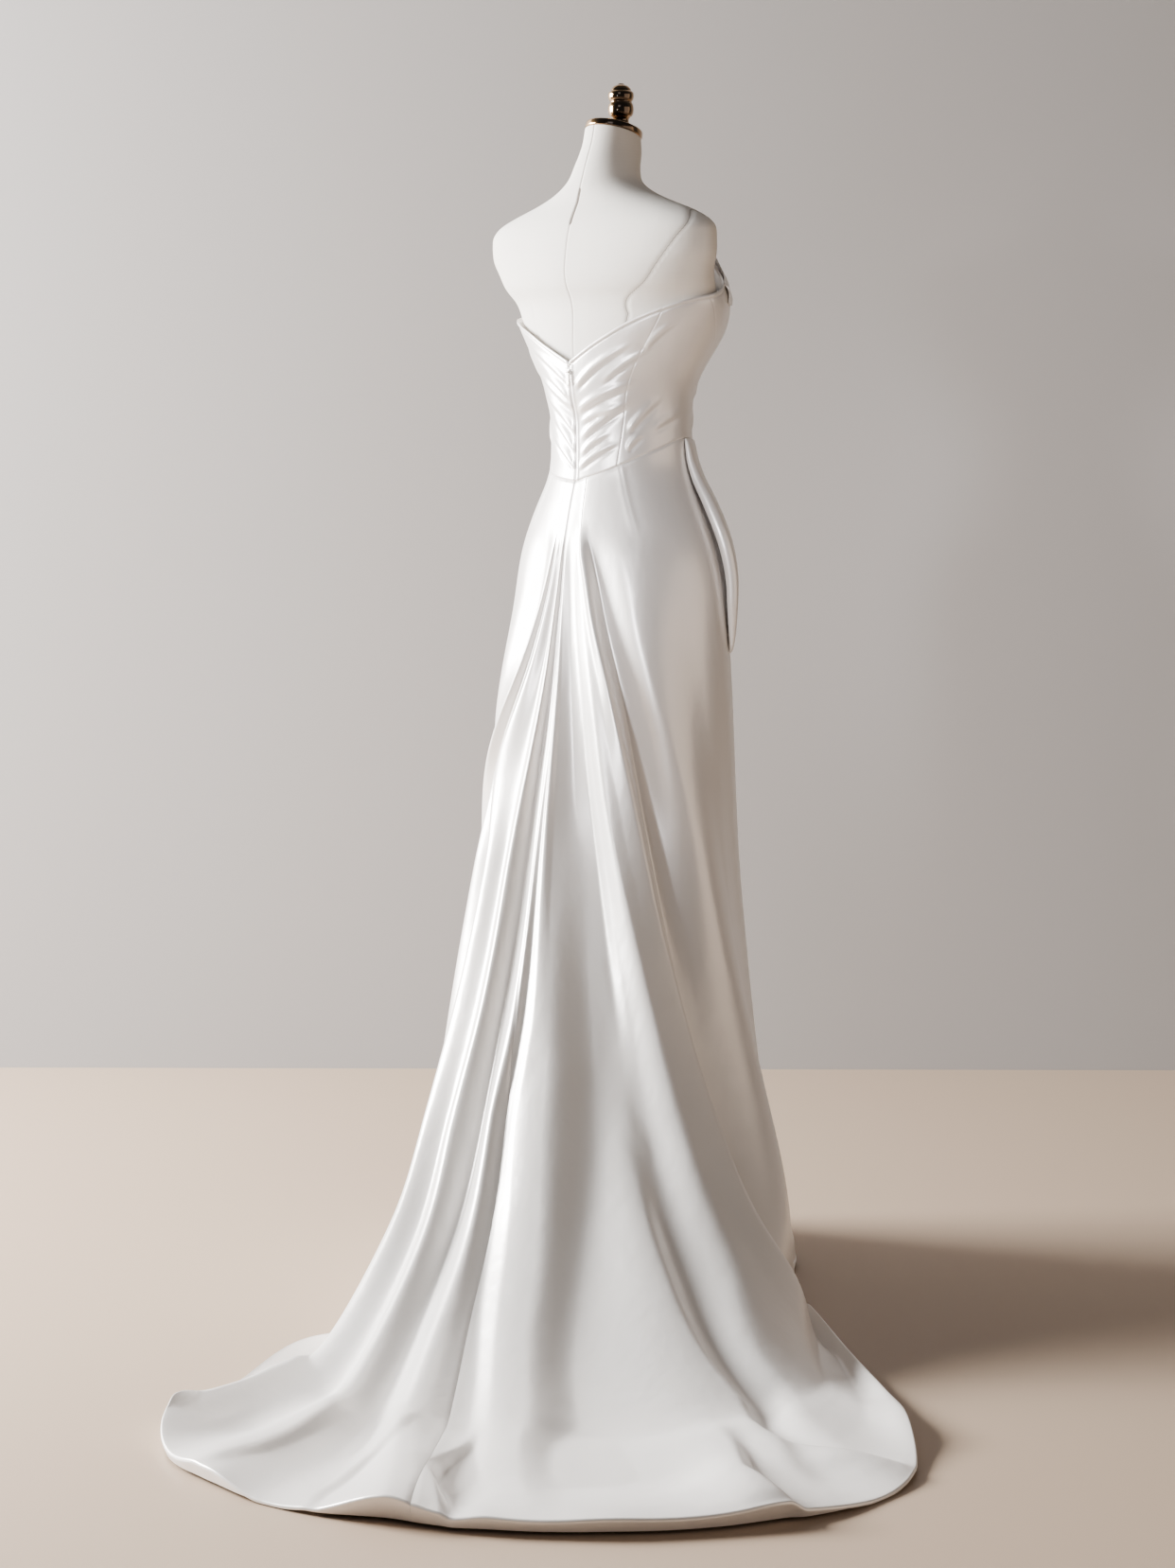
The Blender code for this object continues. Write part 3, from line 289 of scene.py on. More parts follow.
# Levels at which the fold lines below are given: heights, and on the floor the share of the
# way from the break (0) to the hem (-1)
LEVELS = (1.07, 0.90, 0.76, 0.60, 0.43, 0.27, 0.14, 0.03, -0.45, -1.00)
FOLD_LINES = (
    FoldLine((-2.02,) * 10, (0, 0, 1, 2, 3, 4, 4, 4, 4, 3)),
    FoldLine((-1.90,) * 10, (0, 0, -1, -2, -3, -4, -4, -4, -3, -2)),
    FoldLine((-1.78,) * 10, (0, 0, 1, 2, 4, 5, 5, 5, 4, 3)),
    FoldLine((-1.64,) * 10, (0, 0, -1, -3, -4, -5, -5, -5, -3, -2)),
    FoldLine((-1.50,) * 10, (0, 0, 0, 1, 2, 3, 4, 4, 2, 1)),
    FoldLine((-1.34,) * 10, (0, 0, 0, -1, -2, -3, -4, -4, -2, -1)),
    FoldLine((-1.17,) * 10, (1, 3, 5, 6, 6, 5, 4, 3, 1, 0)),
    FoldLine((-1.05,) * 10, (-2, -8, -12, -12, -10, -8, -6, -4, -1, 0)),
    FoldLine(
        (-1.00, -1.00, -1.00, -1.00, -0.99, -0.98, -0.97, -0.97, -0.97, -0.97),
        (1, 6, 10, 13, 14, 12, 9, 6, 2, 1),
    ),
    FoldLine(
        (-0.95, -0.95, -0.95, -0.86, -0.86, -0.86, -0.85, -0.85, -0.86, -0.86),
        (0, -1, -2, -6, -8, -9, -7, -5, -2, -1),
    ),
    FoldLine(
        (-0.90, -0.90, -0.90, -0.72, -0.72, -0.72, -0.70, -0.70, -0.72, -0.72),
        (0, 0, 0, 8, 11, 11, 9, 7, 3, 2),
    ),
    FoldLine(
        (-0.84, -0.84, -0.82, -0.58, -0.58, -0.57, -0.52, -0.53, -0.57, -0.57),
        (0, -2, -5, -8, -10, -11, -10, -8, -3, -2),
    ),
    FoldLine(
        (-0.72, -0.72, -0.70, -0.44, -0.44, -0.42, -0.36, -0.38, -0.44, -0.44),
        (0, 3, 7, 8, 9, 9, 9, 8, 5, 3),
    ),
    FoldLine(
        (-0.50, -0.46, -0.36, -0.31, -0.31, -0.33, -0.28, -0.27, -0.31, -0.33),
        (0, -4, -4, -3, -4, -5, -4, -3, -2, -1),
    ),
    FoldLine(
        (-0.20, -0.17, -0.17, -0.18, -0.19, -0.22, -0.20, -0.21, -0.21, -0.24),
        (1, 5, 8, 10, 11, 10, 8, 6, 3, 1),
    ),
    FoldLine(
        (-0.10, -0.10, -0.11, -0.09, -0.12, -0.13, -0.135, -0.135, -0.12, -0.12),
        (0, -1, -4, -6, -8, -9, -8, -6, -4, -2),
    ),
    FoldLine(
        (0.00, 0.00, 0.01, 0.02, 0.00, -0.05, -0.05, -0.07, -0.05, -0.03),
        (0, 0, 1, 4, 6, 7, 6, 6, 5, 4),
    ),
    FoldLine(
        (0.04, 0.04, 0.05, 0.06, 0.05, 0.00, 0.005, 0.03, 0.03, 0.03),
        (0, 0, 1, 2, 0, -2, -3, -4, -4, -3),
    ),
    FoldLine(
        (0.08, 0.08, 0.09, 0.11, 0.13, 0.06, 0.08, 0.07, 0.07, 0.07),
        (0, 1, 3, 4, 4, 2, 3, 2, 0, 0),
    ),
    FoldLine(
        (0.14, 0.14, 0.16, 0.19, 0.22, 0.19, 0.17, 0.12, 0.10, 0.10),
        (0, -1, -2, -1, 2, 4, 4, 3, 1, 0),
    ),
    FoldLine(
        (0.33, 0.33, 0.36, 0.46, 0.48, 0.42, 0.31, 0.21, 0.16, 0.14),
        (0, -5, -10, -12, -12, -10, -8, -7, -3, 0),
    ),
    FoldLine(
        (0.45, 0.47, 0.52, 0.60, 0.62, 0.575, 0.535, 0.46, 0.41, 0.38),
        (0, -4, -9, -13, -11, -4, 3, 4, 2, 0),
    ),
    FoldLine(
        (0.58, 0.60, 0.64, 0.70, 0.71, 0.66, 0.59, 0.49, 0.44, 0.42),
        (0, 0, -2, -3, -2, -4, -5, -4, -2, 0),
    ),
    FoldLine(
        (0.74, 0.74, 0.77, 0.83, 0.85, 0.82, 0.75, 0.56, 0.50, 0.48),
        (1, 4, 8, 12, 13, 12, 9, 7, 3, 1),
    ),
    FoldLine(
        (0.93, 0.93, 0.93, 0.92, 0.91, 0.88, 0.82, 0.74, 0.70, 0.68),
        (3, 7, 10, 12, 13, 11, 7, 3, 1, 0),
    ),
    FoldLine(
        (1.00, 1.00, 1.00, 0.995, 0.975, 0.945, 0.90, 0.86, 0.82, 0.80),
        (6, 11, 12, 13, 13, 11, 8, 5, 2, 1),
    ),
    FoldLine(
        (1.035, 1.04, 1.05, 1.06, 1.05, 1.03, 0.99, 0.95, 0.91, 0.90),
        (-1, -9, -18, -20, -17, -14, -10, -7, -3, 0),
    ),
    FoldLine(
        (1.16, 1.16, 1.19, 1.22, 1.22, 1.20, 1.17, 1.13, 1.08, 1.05),
        (3, 8, 7, 5, 4, 4, 3, 2, 1, 0),
    ),
    FoldLine((1.34,) * 10, (0, 0, -1, -2, -3, -3, -3, -3, -2, -1)),
    FoldLine((1.50,) * 10, (0, 0, 0, 0, 1, 2, 3, 3, 2, 1)),
    FoldLine((1.64,) * 10, (0, 0, -1, -2, -4, -5, -5, -5, -3, -2)),
    FoldLine((1.78,) * 10, (0, 0, 1, 2, 4, 5, 5, 5, 4, 3)),
    FoldLine((1.90,) * 10, (0, 0, -1, -2, -3, -4, -4, -4, -3, -2)),
    FoldLine((2.02,) * 10, (0, 0, 1, 2, 3, 4, 4, 4, 4, 3)),
)
RIGHT_PLEAT = 25
LEFT_PLEAT = 8
PLEAT_SLIDE = (1, 4, 8, 10, 10, 8, 5, 2, 0, 0)

SLANTS = (
    Slant(0.00, 0.205, 0.635),
    Slant(0.25, 0.236, 0.636),
    Slant(0.45, 0.255, 0.620),
    Slant(0.60, 0.270, 0.590),
    Slant(0.80, 0.298, 0.515),
    Slant(1.00, 0.325, 0.465),
)

DRAGS = (
    Drag(0.035, 1.272, 0.230, 1.325, 1.6, 5.0),
    Drag(0.165, 1.280, 0.330, 1.322, 1.2, 4.5),
    Drag(0.300, 1.323, 0.375, 1.358, 1.0, 5.0),
    Drag(0.035, 1.240, 0.290, 1.275, 1.8, 5.5),
    Drag(0.045, 1.223, 0.255, 1.244, 1.3, 4.0),
    Drag(0.045, 1.203, 0.275, 1.250, 1.9, 5.5),
    Drag(0.040, 1.180, 0.170, 1.206, 1.5, 4.5),
    Drag(0.030, 1.161, 0.205, 1.192, 1.5, 4.5),
    Drag(0.265, 1.212, 0.410, 1.255, 1.5, 5.5),
    Drag(0.255, 1.185, 0.325, 1.204, 1.3, 4.5),
    Drag(0.380, 1.215, 0.520, 1.235, 1.0, 6.0),
    Drag(-0.010, 1.276, -0.230, 1.323, 1.6, 5.0),
    Drag(-0.020, 1.256, -0.160, 1.287, 1.4, 4.5),
    Drag(-0.015, 1.244, -0.240, 1.286, 1.6, 5.0),
    Drag(-0.010, 1.210, -0.215, 1.260, 1.8, 5.5),
    Drag(-0.012, 1.184, -0.175, 1.228, 1.6, 5.0),
    Drag(-0.012, 1.161, -0.180, 1.200, 1.5, 4.5),
    Drag(-0.250, 1.196, -0.400, 1.238, 1.3, 5.5),
    Drag(-0.300, 1.290, -0.380, 1.330, 1.0, 5.0),
    Drag(0.660, 1.215, 0.780, 1.240, 1.0, 6.0),
    Drag(0.690, 1.260, 0.860, 1.275, 1.0, 6.5),
    Drag(-0.650, 1.205, -0.790, 1.228, 1.0, 6.0),
    Drag(-0.700, 1.250, -0.850, 1.268, 1.0, 6.5),
    Drag(0.880, 1.215, 1.000, 1.222, 0.8, 6.0),
)

MOUNDS = (
    Mound(-0.25, -0.98, 16, 60, 140),
    Mound(0.62, -0.70, 10, 60, 100),
    Mound(-0.44, -0.60, 12, 55, 200),
    Mound(0.17, -0.85, 7, 60, 90),
    Mound(-0.455, -1.00, 13, 18, 35),
)
# Levels at which the tucks are given; each ends with its gentle and its steep side in mm
TUCK_LEVELS = (0.00, -0.20, -0.40, -0.57, -0.75, -0.92, -1.00)
TUCKS = (
    Tuck((0.035, 0.030, 0.012, 0.000, 0.012, 0.022, 0.024), (3, 10, 18, 23, 20, 12, 6), 60, 19),
    Tuck((0.380, 0.372, 0.358, 0.340, 0.325, 0.330, 0.335), (1, 6, 14, 23, 28, 20, 10), 55, 24),
    Tuck((0.430, 0.435, 0.440, 0.455, 0.480, 0.500, 0.505), (1, 8, 17, 20, 14, 7, 3), 45, 20),
    Tuck((-0.20, -0.205, -0.215, -0.225, -0.240, -0.265, -0.28), (3, 8, 11, 11, 8, 5, 3), 60, 24),
    Tuck((-0.06, -0.07, -0.085, -0.10, -0.11, -0.12, -0.12), (2, 5, 8, 9, 7, 5, 3), 45, 20),
)

FORM = (
    Torso(0.870, 0.160, 0.112, -0.108, 0.000),
    Torso(0.980, 0.163, 0.113, -0.111, 0.000),
    Torso(1.050, 0.150, 0.105, -0.109, -0.003),
    Torso(1.100, 0.128, 0.095, -0.098, -0.004),
    Torso(1.140, 0.107, 0.084, -0.089, -0.005),
    Torso(1.175, 0.1038, 0.0850, -0.0910, -0.004),
    Torso(1.225, 0.1028, 0.0860, -0.0910, -0.002),
    Torso(1.260, 0.101, 0.092, -0.089, 0.001),
    Torso(1.285, 0.111, 0.095, -0.092, 0.001),
    Torso(1.310, 0.131, 0.096, -0.096, 0.001),
    Torso(1.340, 0.151, 0.097, -0.100, 0.002),
    Torso(1.365, 0.167, 0.097, -0.098, 0.003),
    Torso(1.390, 0.174, 0.101, -0.085, 0.012),
    Torso(1.410, 0.184, 0.111, -0.066, 0.027),
    Torso(1.430, 0.192, 0.114, -0.048, 0.034),
    Torso(1.452, 0.203, 0.112, -0.039, 0.038),
    Torso(1.480, 0.205, 0.107, -0.035, 0.040),
    Torso(1.498, 0.189, 0.101, -0.033, 0.039),
    Torso(1.510, 0.160, 0.095, -0.032, 0.037),
    Torso(1.522, 0.123, 0.089, -0.028, 0.035),
    Torso(1.535, 0.088, 0.085, -0.020, 0.034),
    Torso(1.552, 0.060, 0.080, -0.011, 0.032),
    Torso(1.572, 0.049, 0.072, -0.014, 0.026),
    Torso(1.600, 0.0425, 0.059, -0.021, 0.016),
    Torso(1.620, 0.0400, 0.054, -0.022, 0.016),
)

FINIAL = (
    Turned(0.0150, 0.0000),
    Turned(0.0145, 0.0040),
    Turned(0.0120, 0.0100),
    Turned(0.0112, 0.0145),
    Turned(0.0130, 0.0180),
    Turned(0.0160, 0.0205),
    Turned(0.0178, 0.0255),
    Turned(0.0181, 0.0310),
    Turned(0.0170, 0.0365),
    Turned(0.0155, 0.0395),
    Turned(0.0172, 0.0425),
    Turned(0.0183, 0.0470),
    Turned(0.0178, 0.0520),
    Turned(0.0148, 0.0550),
    Turned(0.0138, 0.0575),
    Turned(0.0105, 0.0612),
    Turned(0.0050, 0.0636),
)

LAMPS = (
    Lamp("key_left", LampKind.SOFTBOX, (2.87, 2.17, 1.9), (0.0, 0.15, 0.75), 1.7, 1000, (1.0, 0.985, 0.965)),
    Lamp("window_high", LampKind.SOFTBOX, (-2.2, 4.2, 3.4), (0.0, 0.2, 0.6), 1.6, 10, (0.92, 0.93, 1.0)),
    Lamp("warm_low", LampKind.SOFTBOX, (-3.4, -0.6, 0.8), (0.0, 0.0, 0.5), 3.2, 38, (1.0, 0.78, 0.60)),
    Lamp("back_spot", LampKind.SPOT, (-0.7, 3.6, 1.35), (-0.08, 0.0, 1.08), 16.0, 420, (0.99, 0.97, 1.0)),
)


def smooth_step(t: Array) -> Array:
    """A soft step from 0 to 1."""
    t = np.clip(t, 0, 1)
    return 3 * t**2 - 2 * t**3


def under(value: Array, limit: Span) -> Array:
    """A soft step from 0 at a limit to 1 at its reach below it; limit holds the two."""
    return smooth_step((limit[0] - value) / limit[1])


def bell(t: Array) -> Array:
    """A bell curve with its top at 0."""
    return np.exp(-(t**2))


def unit(vectors: Array) -> Array:
    """The vectors at length 1."""
    return vectors / np.maximum(np.linalg.norm(vectors, axis=-1, keepdims=True), 1e-12)


def lengths(grid: Array, axis: int) -> Array:
    """Cloth lengths to each point from the first row (axis 0) or the first column (axis 1)."""
    run = np.linalg.norm(np.diff(grid, axis=axis), axis=-1).cumsum(axis=axis)
    return np.concatenate([0 * run.take([0], axis), run], axis=axis)


def tangents(slope: Array) -> Array:
    """Slopes at the points of curves that never overshoot between them.

    Args:
        slope: Slopes of the straight runs between points, along the first axis.

    Returns:
        One more row than slope.
    """
    inner = (slope[:-1] + slope[1:]) / 2
    inner[slope[:-1] * slope[1:] <= 0] = 0
    found = np.concatenate([slope[:1], inner, slope[-1:]])
    after = np.abs(np.concatenate([slope, slope[-1:]]))
    before = np.abs(np.concatenate([slope[:1], slope]))
    limit = 3 * np.minimum(after, before)
    return np.clip(found, -limit, limit)


def smooth_curve(xs: Array, ys: Array, x: Array) -> Array:
    """A smooth curve through points.

    Args:
        xs: Places of the points in rising order, along the first axis.
        ys: Their values, with the shape of xs.
        x: Places to read, with the shape of xs past its first axis, or any shape if xs is a row.

    Returns:
        The curve's value at each x.
    """
    xs = np.asarray(xs, float)
    ys = np.asarray(ys, float)
    step = np.diff(xs, axis=0)
    tangent = tangents(np.diff(ys, axis=0) / step)
    x = np.clip(x, xs[0], xs[-1])
    if xs.ndim == 1:
        at = np.clip(np.searchsorted(xs, x, side="right") - 1, 0, len(step) - 1)
        low, high, left, right = xs[at], xs[at + 1], ys[at], ys[at + 1]
        lean_left, lean_right = tangent[at], tangent[at + 1]
    else:
        at = np.clip((xs <= x).sum(axis=0) - 1, 0, len(step) - 1)[None]
        tables = ((xs, at), (xs, at + 1), (ys, at), (ys, at + 1), (tangent, at), (tangent, at + 1))
        low, high, left, right, lean_left, lean_right = (
            np.take_along_axis(table, where, axis=0)[0] for table, where in tables
        )
    run = high - low
    t = (x - low) / run
    rise = (2 * t**3 - 3 * t**2 + 1) * left + (3 * t**2 - 2 * t**3) * right
    lean = (t**3 - 2 * t**2 + t) * lean_left + (t**3 - t**2) * lean_right
    return rise + lean * run


def read(table: tuple, key: str, name: str, at: Array) -> Array:
    """A column of a table as a smooth curve of its key column."""
    return smooth_curve([getattr(r, key) for r in table], [getattr(r, name) for r in table], at)


def crowded(start: float, end: float, count: int) -> Array:
    """Places from start to end that lie closer together towards both ends."""
    t = np.linspace(0, 1, count + 1)
    return start + (end - start) * (t - CROWDING * np.sin(2 * math.pi * t) / (2 * math.pi))


def row_normals(grid: Array, closed: bool, hand: int = 1) -> Array:
    """Normals of a grid whose rows run round the body and whose columns run down.

    Args:
        grid: Points, rows by columns by 3.
        closed: Whether the first and last columns are the same points.
        hand: -1 where the columns run the other way round.

    Returns:
        Outward normals, with the shape of grid.
    """
    down = np.gradient(grid, axis=0)
    if closed:
        ring = grid[:, :-1]
        across = np.roll(ring, -1, axis=1) - np.roll(ring, 1, axis=1)
        across = np.concatenate([across, across[:, :1]], axis=1)
    else:
        across = np.gradient(grid, axis=1) * hand
    return unit(np.cross(down, across))


def level_row(normals: Array, row: int) -> None:
    """Turns one row of normals level, so that a seam's edge keeps its height."""
    normals[row, :, 2] = 0
    normals[row] = unit(normals[row])


def inset_sides(grid: Array) -> None:
    """Moves the two side edges of a panel in by half a seam's gap."""
    for edge, inner in ((0, 1), (-1, -2)):
        grid[:, edge] += unit(grid[:, inner] - grid[:, edge]) * SEAM_GAP / 2


def softened(grid: Array, passes: int) -> Array:
    """Smooths small kinks out of a grid's columns, its first and last rows kept.

    Args:
        grid: The points.
        passes: How many times each row is averaged with its neighbours.

    Returns:
        The smoothed points.
    """
    grid = grid.copy()
    for _ in range(passes):
        grid[1:-1] = (grid[:-2] + 2 * grid[1:-1] + grid[2:]) / 4
    return grid


@dataclass(frozen=True)
class GownShape:
    """The gown's plain surface, from its ring tables."""

    fan: float = 0.5
    side_seam: float = 0.56
    left_drop: float = 20 * MM
    right_narrowing: float = 0.90
    left_narrowing: float = 0.70
    end_points: int = 97
    side_points: int = 65
    front_break: float = 0.060
    train_end: float = 0.86
    train_ease: float = 0.30
    break_curve: float = 1.5
    cup_share: float = 0.78
    cup_height: float = 1.350
    cup_rise: float = 0.012
    cup_wide: float = 0.13
    cup_tall: float = 0.048
    neck_stand: float = 0.004
    stand_shares: Span = (0.50, 0.20)
    stand_heights: Span = (1.37, 0.08)

    def ring(self, height: Array) -> Outline:
        """The gown's outline at each height."""
        return {name: read(GOWN, "height", name, height) for name in Ring._fields[1:]}

    def half_outline(self, ring: Outline, narrowing: float) -> tuple[Array, ...]:
        """Dense half outlines from the train's end to centre front, one a row.

        Args:
            ring: The outline's measures, one a row.
            narrowing: How soon the train narrows; less than 1 is sooner.

        Returns:
            Places across the train, places along it, and the length run to each.
        """
        angle = np.linspace(0, math.pi / 2, self.end_points)
        tail, side, reach = (ring[name][:, None] for name in ("tail", "side", "reach"))
        end = (tail * np.sin(angle), reach + ring["back"][:, None] * np.cos(angle))
        t = np.linspace(0, 1, self.side_points)[1:-1]
        ease = smooth_step(t**narrowing)
        flank = (tail * (1 - ease) + side * ease, reach * (1 - t))
        front = (side * np.cos(angle), -ring["front"][:, None] * np.sin(angle))
        across, along = (np.concatenate(parts, axis=1) for parts in zip(end, flank, front))
        return across, along, lengths(np.stack([across, along], -1), 1)

    def outline_points(self, ring: Outline, share: Array, shift: Array) -> tuple[Array, Array]:
        """Points at a share of the way round: 0 at centre back, 1 at centre front.

        Args:
            ring: The outline's measures at each point.
            share: Share of the way, to the wearer's right where positive.
            shift: Length from the train's end to the centre back seam.

        Returns:
            The points' x and y.
        """
        right = self.half_outline(ring, self.right_narrowing)
        left = self.half_outline(ring, self.left_narrowing)
        right_run = shift + share * (right[2][:, -1] - shift)
        left_run = shift + share * (left[2][:, -1] + shift)
        return self.points_along(ring, np.where(share >= 0, right_run, left_run), right, left)

    def points_along(self, ring: Outline, run: Array, right: tuple, left: tuple) -> tuple[Array, Array]:
        """Points at a length run from the train's end.

        Args:
            ring: The outline's measures at each point.
            run: The length, to the wearer's right where positive.
            right: The right half outline.
            left: The left half outline.

        Returns:
            The points' x and y.
        """
        on_right = (run >= 0)[:, None]
        across, along, length = (np.where(on_right, a, b) for a, b in zip(right, left))
        far = np.abs(run)[:, None]
        at = np.clip((length <= far).sum(axis=1) - 1, 0, length.shape[1] - 2)[:, None]
        start, end = (np.take_along_axis(length, at + k, axis=1) for k in (0, 1))
        t = np.clip((far - start) / np.maximum(end - start, 1e-12), 0, 1)
        spots = []
        for table in (across, along):
            low, high = (np.take_along_axis(table, at + k, axis=1) for k in (0, 1))
            spots.append((low + (high - low) * t)[:, 0])
        wide = np.where(run >= 0, 1, -1) * spots[0]
        turn = np.radians(ring["turn"])
        x = -np.cos(turn) * wide - np.sin(turn) * spots[1]
        y = -np.sin(turn) * wide + np.cos(turn) * spots[1] + ring["centre"]
        return x, y

    def drop(self, share: Array) -> Array:
        """How much lower the gown sits, on the left only."""
        return np.where(share < 0, self.left_drop * np.sin(math.pi * np.abs(share)), 0.0)

    def waist(self, share: Array) -> Array:
        """Height of the waist seam."""
        return read(WAIST_SEAM, "share", "height", np.abs(share)) - self.drop(share)

    def neck(self, share: Array) -> Array:
        """Height of the neckline."""
        return read(NECKLINE, "share", "height", np.abs(share)) - self.drop(share)

    def fan_share(self, col: Array, right: Array, left: Array) -> Array:
        """Share of the way round for a column: the fan's columns crowd together at its top.

        Args:
            col: The column, from -1 to 1.
            right: The fan's share of the right half outline.
            left: The fan's share of the left half outline.

        Returns:
            The share, with the column's sign.
        """
        size = np.abs(col)
        fan = np.where(col >= 0, right, left)
        inside = fan * size / self.fan
        outside = fan + (1 - fan) * (size - self.fan) / (1 - self.fan)
        return np.sign(col) * np.where(size <= self.fan, inside, outside)

    def skirt_seam(self) -> float:
        """The column of the skirt's side seam."""
        top = OPENINGS[-1].right
        return self.fan + (self.side_seam - top) / (1 - top) * (1 - self.fan)

    def skirt_waist(self, cols: Array) -> Array:
        """Height of the waist seam at the skirt's columns."""
        return self.waist(self.fan_share(cols, OPENINGS[-1].right, OPENINGS[-1].left))

    def on_floor(self, cols: Array) -> Array:
        """1 at the train, 0 at the front, where the hem only touches the floor."""
        return smooth_step((self.train_end - np.abs(cols)) / self.train_ease)

    def break_height(self, cols: Array) -> Array:
        """Height at which the fall ends and the cloth on the floor begins."""
        return GOWN[0].height + (self.front_break - GOWN[0].height) * (1 - self.on_floor(cols))

    def skirt_row(self, cols: Array, height: Array) -> Array:
        """Plain points of one row of the skirt.

        Args:
            cols: The skirt's columns.
            height: One height for each column.

        Returns:
            One point a column.
        """
        right, left, shift = (read(OPENINGS, "height", name, height) for name in Opening._fields[1:])
        x, y = self.outline_points(self.ring(height), self.fan_share(cols, right, left), shift)
        return np.stack([x, y, height], -1)

    def hanging_row(self, cols: Array, place: float) -> Array:
        """Plain points of one row of the fall, from the waist seam (0) to the break (1)."""
        return self.skirt_row(cols, self.skirt_waist(cols) * (1 - place) + self.break_height(cols) * place)

    def floor_row(self, cols: Array, place: float) -> Array:
        """Plain points of one row of the cloth on the floor.

        Args:
            cols: The skirt's columns.
            place: The row's place from the break (0) to the hem (1).

        Returns:
            One point a column.
        """
        low = self.break_height(cols)
        ring = self.ring(low)
        ring = {name: ring[name] * (1 - place) + getattr(HEM, name) * place for name in ring}
        right, left, shift = (
            read(OPENINGS, "height", name, low) * (1 - place) + getattr(HEM_OPENING, name) * place
            for name in Opening._fields[1:]
        )
        x, y = self.outline_points(ring, self.fan_share(cols, right, left), shift)
        return np.stack([x, y, low * (1 - place) ** self.break_curve], -1)

    def bodice_row(self, share: Array, height: Array) -> Array:
        """Plain points of the bodice, with the cups' swell and the neckline's stand.

        Args:
            share: Shares of the way round.
            height: One height for each share.

        Returns:
            One point a share.
        """
        ring = self.ring(height)
        x, y = self.outline_points(ring, share, np.zeros(len(share)))
        size = np.abs(share)
        cup = bell((size - self.cup_share) / self.cup_wide) * bell((height - self.cup_height) / self.cup_tall)
        spots = ((size, self.stand_shares), (height, self.stand_heights))
        past_share, past_height = (np.clip((value - start) / reach, 0, 1) for value, (start, reach) in spots)
        out = self.cup_rise * cup + self.neck_stand * (past_share * past_height)
        away = unit(np.stack([x, y - ring["centre"]], -1))
        return np.stack([x + away[:, 0] * out, y + away[:, 1] * out, height], -1)


SHAPE = GownShape()


def new_object(name: str, points: Array, faces: list, flat: Array, finish: Material, edge: float) -> Object:
    """Makes a smooth shaded object that carries its cloth map.

    Args:
        name: The object's name.
        points: Its corners.
        faces: The corners of each face.
        flat: Each corner's place on the flat cloth, in metres.
        finish: The material it gets.
        edge: Degrees past which an edge stays sharp.

    Returns:
        The new object.
    """
    mesh = bpy.data.meshes.new(name)
    mesh.from_pydata(points.tolist(), [], faces)
    corners = np.empty(len(mesh.loops), dtype=np.int32)
    mesh.loops.foreach_get("vertex_index", corners)
    layer = mesh.uv_layers.new(name="cloth")
    layer.data.foreach_set("uv", flat[corners].astype(np.float32).reshape(-1))
    obj = bpy.data.objects.new(name, mesh)
    bpy.context.scene.collection.objects.link(obj)
    made = bmesh.new()
    made.from_mesh(mesh)
    bmesh.ops.recalc_face_normals(made, faces=made.faces)
    made.to_mesh(mesh)
    made.free()
    mesh.materials.append(finish)
    mesh.shade_smooth()
    mesh.set_sharp_from_angle(angle=math.radians(edge))
    return obj


def shell(name: str, grid: Array, normals: Array, thick: float, finish: Material) -> Object:
    """A closed thin wall round a middle surface, with its cloth lengths as its UV map.

    Args:
        name: The object's name.
        grid: Points of the middle surface, rows by columns by 3.
        normals: Its outward normals.
        thick: Thickness of the cloth in metres.
        finish: The material it gets.

    Returns:
        The new object.
    """
    rows, cols = grid.shape[:2]
    skins = [grid + normals * thick / 2, grid - normals * thick / 2]
    for skin in skins:
        skin[..., 2] = np.maximum(skin[..., 2], 0.0)
    index = np.arange(rows * cols).reshape(rows, cols)
    under = index + rows * cols
    corners = (
        (index[:-1, :-1], index[1:, :-1], index[1:, 1:], index[:-1, 1:]),
        (under[:-1, :-1], under[:-1, 1:], under[1:, 1:], under[1:, :-1]),
        (index[0, :-1], index[0, 1:], under[0, 1:], under[0, :-1]),
        (index[-1, 1:], index[-1, :-1], under[-1, :-1], under[-1, 1:]),
        (index[1:, 0], index[:-1, 0], under[:-1, 0], under[1:, 0]),
        (index[:-1, -1], index[1:, -1], under[1:, -1], under[:-1, -1]),
    )
    faces = np.concatenate([np.stack(four, -1).reshape(-1, 4) for four in corners])
    across = lengths(grid, 1)
    middle = cols // 2
    flat = np.stack([across - across[:, middle : middle + 1], -lengths(grid, 0)], -1).reshape(-1, 2)
    points = np.concatenate(skins).reshape(-1, 3)
    return new_object(name, points, faces.tolist(), np.tile(flat, (2, 1)), finish, 60)


def deselect() -> None:
    """Deselects every object."""
    for obj in bpy.context.selected_objects:
        obj.select_set(False)


def place_piece(obj: Object, slot: str, *nodes: str, body: str = "root") -> None:
    """Seats a finished piece and reports it.

    Args:
        obj: The piece.
        slot: The slot of its finish; not used.
        nodes: The CAD nodes that it stands for.
        body: The body that it rides on.
    """
    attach(obj, body)
    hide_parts(*nodes)
    faces = sum(len(p.vertices) - 2 for p in obj.data.polygons)
    area = sum(p.area for p in obj.data.polygons)
    LOG.info("%s: %d triangles, %.4f m2 in all", obj.name, faces, area)


def sew(node: str, grid: Array, normals: Array, thick: float, satin: Material) -> None:
    """Makes a satin piece for a CAD node and places it; the rest as for shell."""
    place_piece(shell(f"satin_{node}", grid, normals, thick, satin), "satin", node)


